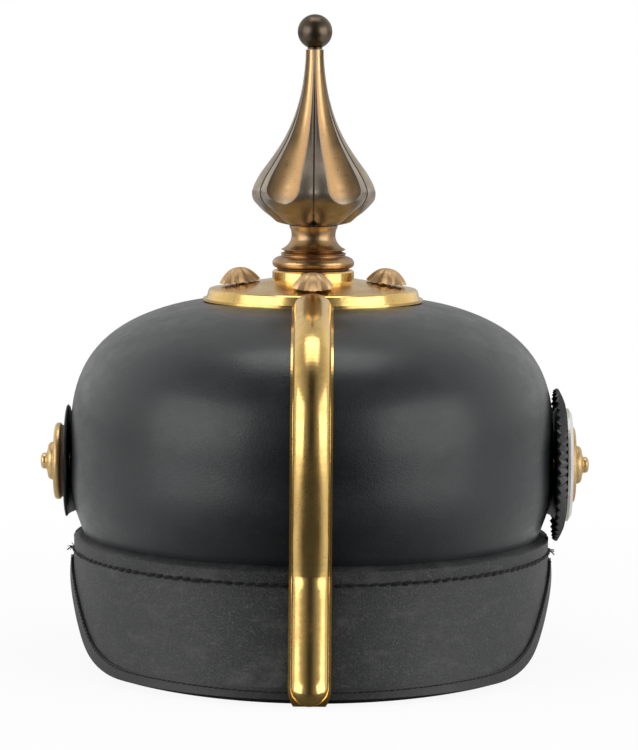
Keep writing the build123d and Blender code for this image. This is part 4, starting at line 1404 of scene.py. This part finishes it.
@dataclass
class Rosettes(SubAssembly):
    """The turned side screws, with a stepped cone and a knob; seats, post and profile are in millimetres."""

    height: float = 75.0 * MM
    seats: tuple[tuple[Side, float], ...] = ((Side.LEFT, 98.8), (Side.RIGHT, 101.2))
    post: float = 2.0
    profile: Profile = (
        (14.5, 0.0), (15.0, 0.4), (15.15, 1.1), (15.0, 1.9), (14.5, 2.45), (13.6, 2.75), (12.6, 2.8),
        (11.2, 2.55), (9.4, 2.5), (8.1, 2.75), (7.6, 3.1), (7.45, 3.9), (7.1, 4.7), (6.4, 5.25), (5.4, 5.5),
        (4.4, 5.65), (3.7, 5.9), (3.2, 6.2), (3.15, 6.8), (3.05, 7.4), (2.5, 7.95), (1.5, 8.25), (0.3, 8.35),
    )
    columns: int = 72

    def ring(self, side: Side, radius: float, out: float) -> list[Vector]:
        """Draws a ring about the side screws' axis.

        Args:
            side: Side that the screw is on.
            radius: The ring's radius, in millimetres.
            out: Its distance from the helmet's middle, in millimetres.

        Returns:
            The ring's points.
        """
        middle = Vector((side.value * out * MM, 0, self.height))
        ways = [Vector((0, math.cos(turn), math.sin(turn))) for turn in full_turn(self.columns)]
        return [middle + way * radius * MM for way in ways]

    def build(self) -> None:
        """Makes both screws."""
        for side, seat in self.seats:
            name = side.name.lower()
            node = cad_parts[f"rosette_{name}"]
            foot = min(abs(vertex.co.x) for vertex in node.data.vertices) / MM
            rows = [self.ring(side, self.post, foot), self.ring(side, self.post, seat)]
            rows += [self.ring(side, radius, seat + rise) for radius, rise in eased(self.profile, 3)]
            made = self.add(f"side_screw_{name}", grid(rows, capped=True), crease=50.0)
            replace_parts(made, f"rosette_{name}")

    def dress(self, shop: Workshop) -> None:
        """Gives the screws their dull brass."""
        self.cover(shop, "gilt_brass", Finish.CAST)


@dataclass
class Cockade(SubAssembly):
    """Black cockade with a pleated, toothed rim, behind its silvered ring."""

    centre_height: float = 75.0 * MM
    bore: float = 2.2 * MM
    hub: float = 20.0 * MM
    radius: float = 29.8 * MM
    face: float = 100.15 * MM
    dish: float = 3.6 * MM
    dish_power: float = 1.7
    sheet: float = 0.7 * MM
    pleats: int = 48
    pleat_steps: int = 4
    pleat_depth: float = 0.55 * MM
    tooth: float = 0.35 * MM
    rings: int = 10

    def ring(self, share: float, back: float) -> list[Vector]:
        """Draws a ring of the rim.

        Args:
            share: Share of the way from the hub to the edge.
            back: Distance behind the face.

        Returns:
            The ring's points.
        """
        out = []
        reach = self.hub + (self.radius - self.hub) * share
        for index, turn in enumerate(full_turn(self.pleats * self.pleat_steps)):
            wave = abs(2 * (index % self.pleat_steps) / self.pleat_steps - 1) * 2 - 1
            depth = self.face - back - self.dish * share**self.dish_power
            depth += self.pleat_depth * wave * min(1.0, share * 2)
            length = reach + self.tooth * wave * share
            out.append(Vector((depth, length * math.cos(turn), self.centre_height + length * math.sin(turn))))
        return out

    def build(self) -> None:
        """Makes the pleated disc."""
        front = [self.ring(share, 0.0) for share in shares(self.rings)]
        behind = [self.ring(share, self.sheet) for share in reversed(shares(self.rings))]
        middle, shrink = self.centre_height, self.bore / self.hub
        inner = [
            [Vector((point.x, point.y * shrink, middle + (point.z - middle) * shrink)) for point in row]
            for row in (behind[-1], front[0])
        ]
        rows = [*front, *behind, *inner]
        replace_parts(self.add("pleated_cockade", grid(rows, loop=True)), "cockade_disc")

    def dress(self, shop: Workshop) -> None:
        """Lacquers the disc."""
        self.cover(shop, "black_paint", Finish.BLACK)


@dataclass
class FlowerScrews(SubAssembly):
    """Thin domed screw heads, folded into pointed petals; their tilt is in degrees."""

    count: int = 4
    circle: float = 28.9 * MM
    radius: float = 8.3 * MM
    hem: float = 146.9 * MM
    rise: float = 5.4 * MM
    dome_power: float = 2.3
    tilt: float = -7.0
    sheet: float = 0.7 * MM
    petals: int = 12
    petal_steps: int = 6
    tip_share: float = 0.16
    fold: float = 0.75 * MM
    fold_power: float = 1.2
    fold_fading: float = 0.35
    post_radius: float = 1.6 * MM
    post_foot: float = 131.6 * MM
    crest_share: float = 0.05
    rings: int = 14

    def skin(self, share: float, inset: float) -> list[Vector]:
        """Draws a ring of the head.

        Args:
            share: Share of the way from the crest to the hem.
            inset: How far the ring lies inside the outer face.

        Returns:
            The ring's points.
        """
        out = []
        for index, turn in enumerate(full_turn(self.petals * self.petal_steps)):
            valley = abs(2 * (index % self.petal_steps) / self.petal_steps - 1)
            reach = (self.radius - inset) * share * (1 - self.tip_share * valley * share**3)
            height = self.hem + self.rise * (1 - share**self.dome_power) - inset * (1 - share**3)
            height -= self.fold * valley * share**self.fold_power * (1 - self.fold_fading * share)
            out.append(Vector((reach * math.cos(turn), reach * math.sin(turn), height)))
        return out

    def head(self) -> list[list[Vector]]:
        """Draws a head with its post, upright and on the spike's axis.

        Returns:
            The rings' points.
        """
        columns = self.petals * self.petal_steps
        spaced = [self.crest_share + (1 - self.crest_share) * share for share in shares(self.rings)]
        rows = [self.skin(share, 0.0) for share in spaced]
        post_share = 1.2 * self.post_radius / self.radius
        rows += [self.skin(share, self.sheet) for share in reversed(spaced) if share > post_share]
        crest = rows[-1][0].z
        rows += [around(self.post_radius, height, columns) for height in (crest, self.post_foot)]
        return rows

    def build(self) -> None:
        """Makes all the screws as one piece."""
        mesh = bmesh.new()
        rows = self.head()
        pivot = Matrix.Translation((0, self.circle, self.hem))
        lean = pivot @ Matrix.Rotation(math.radians(self.tilt), 4, "X") @ pivot.inverted()
        for turn in full_turn(self.count):
            placed = Matrix.Rotation(turn, 4, "Z") @ lean @ Matrix.Translation((0, self.circle, 0))
            grid([[placed @ point for point in row] for row in rows], capped=True, into=mesh)
        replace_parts(self.add("flower_heads", mesh, crease=24.0), "flower_screws")

    def dress(self, shop: Workshop) -> None:
        """Gives the heads their worn, reddish brass."""
        self.cover(shop, "copper_brass", Finish.COPPER)


@dataclass
class Spike(SubAssembly):
    """The spike's turned neck, and its bulb with six fluted petals, in millimetres and degrees."""

    bore: float = 2.2
    neck: Profile = (
        (14.9, 152.4), (15.8, 153.0), (16.1, 154.1), (15.9, 155.1), (15.0, 156.1), (13.4, 156.8),
        (12.6, 157.0), (12.6, 157.5), (12.9, 157.9), (12.3, 158.3), (11.4, 158.6), (11.3, 158.9),
        (12.5, 159.4), (12.5, 159.7), (11.2, 160.4), (9.7, 161.9), (8.7, 164.2), (8.8, 166.6),
        (9.4, 168.2), (9.6, 168.9),
    )
    neck_columns: int = 96
    profile: Profile = (
        (9.4, 169.1), (12.4, 169.7), (14.4, 170.3), (15.4, 171.0), (17.2, 172.6), (19.6, 174.4),
        (22.4, 177.2), (24.4, 179.8), (25.15, 182.2), (24.8, 184.2), (23.3, 187.2), (21.3, 190.3),
        (16.7, 196.5), (12.6, 202.8), (9.5, 209.0), (7.25, 215.2), (5.6, 221.5), (4.55, 227.8),
        (3.95, 234.0), (3.85, 237.9),
    )
    petals: int = 6
    flute_half_angles: Span = (17.5, 24.0)
    flute_shares: Span = (0.165, 0.23)
    flute_foot: float = 178.3
    flute_round: float = 6.6
    flute_closed: float = 1.5
    flute_columns: int = 12
    # How quickly the painted highlight fills a flute from its edges
    flute_edge: float = 2.5
    land_columns: int = 5
    valley: float = 0.42
    valley_share: float = 0.3
    valley_depth: float = 0.55
    valley_depth_share: float = 0.13
    dip_share: float = 0.045
    lobe_rise: float = 1.5
    lobe_top: float = 178.0
    lobe_span: float = 6.0
    lobe_angle: float = 7.0
    # Strength of the painted highlight at each point of the bulb, in order
    highlight_marks: list[float] = field(default_factory=list, init=False)

    def flute(self, height: float) -> tuple[float, float]:
        """Finds a flute's size at a height: round at its foot, then wider and deeper to the point.

        Args:
            height: Height, in millimetres.

        Returns:
            Its half angle in degrees and its depth as a share of the radius.
        """
        low = self.flute_foot + self.flute_round
        climb = max(0.0, min(1.0, (height - low) / (self.profile[-1][1] - low)))
        angle, share = (
            start + (end - start) * climb for start, end in (self.flute_half_angles, self.flute_shares)
        )
        if height >= low:
            return angle, share
        rest = 1 - ((low - height) / self.flute_round) ** 2
        if rest <= 0:
            return self.flute_closed, 0.0
        return max(self.flute_closed, angle * math.sqrt(rest)), share * rest

    def petal(self, radius: float, half: float) -> list[tuple[float, float, float]]:
        """Spaces a petal's columns from one valley to the next, with the flute between them.

        Args:
            radius: Radius of the arrises, in millimetres.
            half: The flute's half angle.

        Returns:
            Each column's angle, and its shares of the valley's and the flute's depth.
        """
        sector = 360 / self.petals
        edge = sector / 2 - half
        score = min(math.degrees(self.valley / radius), self.valley_share * edge)
        land = [(score + (edge - score) * share, 0.0, 0.0) for share in shares(self.land_columns)]
        hollow = [2 * share - 1 for share in shares(self.flute_columns)[1:-1]]
        flute = [(sector / 2 + half * part, 0.0, 1 - part * part) for part in hollow]
        far = [(sector - angle, 0.0, 0.0) for angle, _, _ in reversed(land)]
        return [(0.0, 1.0, 0.0), *land, *flute, *far]

    def ring(self, radius: float, height: float) -> list[Vector]:
        """Draws the bulb's section, and records how strong the painted highlight is at each point, by how
        hollow it lies in its flute.

        Args:
            radius: Radius of the arrises, in millimetres.
            height: Height, in millimetres.

        Returns:
            The section's points, in metres.
        """
        sector = 360 / self.petals
        half, share = self.flute(height)
        columns = self.petal(radius, half)
        low = max(0.0, min(1.0, (self.lobe_top - height) / self.lobe_span))
        painted_highlight = min(1.0, share / self.flute_shares[0])
        out = []
        for petal in range(self.petals):
            for angle, scored, hollow in columns:
                from_valley = min(angle, sector - angle)
                near = max(0.0, 1 - from_valley / (sector / 2 - half))
                reach = radius * (1 - share * hollow - self.dip_share * near**2)
                reach -= scored * min(self.valley_depth, self.valley_depth_share * radius)
                lift = self.lobe_rise * low * math.exp(-((from_valley / self.lobe_angle) ** 2))
                turn = math.radians(90 + petal * sector + angle)
                out.append(Vector((reach * math.cos(turn), reach * math.sin(turn), height + lift)) * MM)
                # Painted highlight: each flute's hollow, which the softboxes light, gets the bright brass
                # colour; it fades where a flute closes
                self.highlight_marks.append(painted_highlight * min(1.0, self.flute_edge * hollow))
        return out

    def build(self) -> None:
        """Makes the neck and the bulb."""
        line = eased(self.neck, 3)
        line = [(self.bore, line[0][1]), *line, (self.bore, line[-1][1])]
        rows = [around(radius * MM, height * MM, self.neck_columns) for radius, height in line]
        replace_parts(self.add("turned_neck", grid(rows, loop=True), Body.SPIKE), "spike_neck")
        rows = [self.ring(radius, height) for radius, height in eased(self.profile, 6)]
        for row in (rows[-1], rows[0]):
            rows.append([level(point) * self.bore * MM + Vector((0, 0, point.z)) for point in row])
        made = self.add("fluted_bulb", grid(rows, loop=True), Body.SPIKE, 22.0)
        highlight_marks = made.data.attributes.new("hollow", "FLOAT", "POINT")
        highlight_marks.data.foreach_set("value", self.highlight_marks + [0.0] * (2 * len(rows[0])))
        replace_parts(made, "spike_bulb")

    def dress(self, shop: Workshop) -> None:
        """Bronzes the neck, and the bulb with a painted highlight in its flutes."""
        self.cover(shop, "bronzed_brass", Finish.BRONZE, Finish.BULB)


def main() -> None:
    """Builds and dresses the helmet from the rim to the spike."""
    logging.basicConfig(level=logging.INFO, format="%(message)s")
    shop = Workshop()
    Studio().build()
    shell = (PlainParts, FlangeLip, Seams, Spine, Sweatband, Lining)
    fittings = (ChinStrap, Rosettes, Cockade, FlowerScrews, Spike)
    for kind in shell + fittings:
        LOG.info("making %s", kind.__name__)
        group = kind()
        group.build()
        group.dress(shop)


if __name__ == "__main__":
    main()
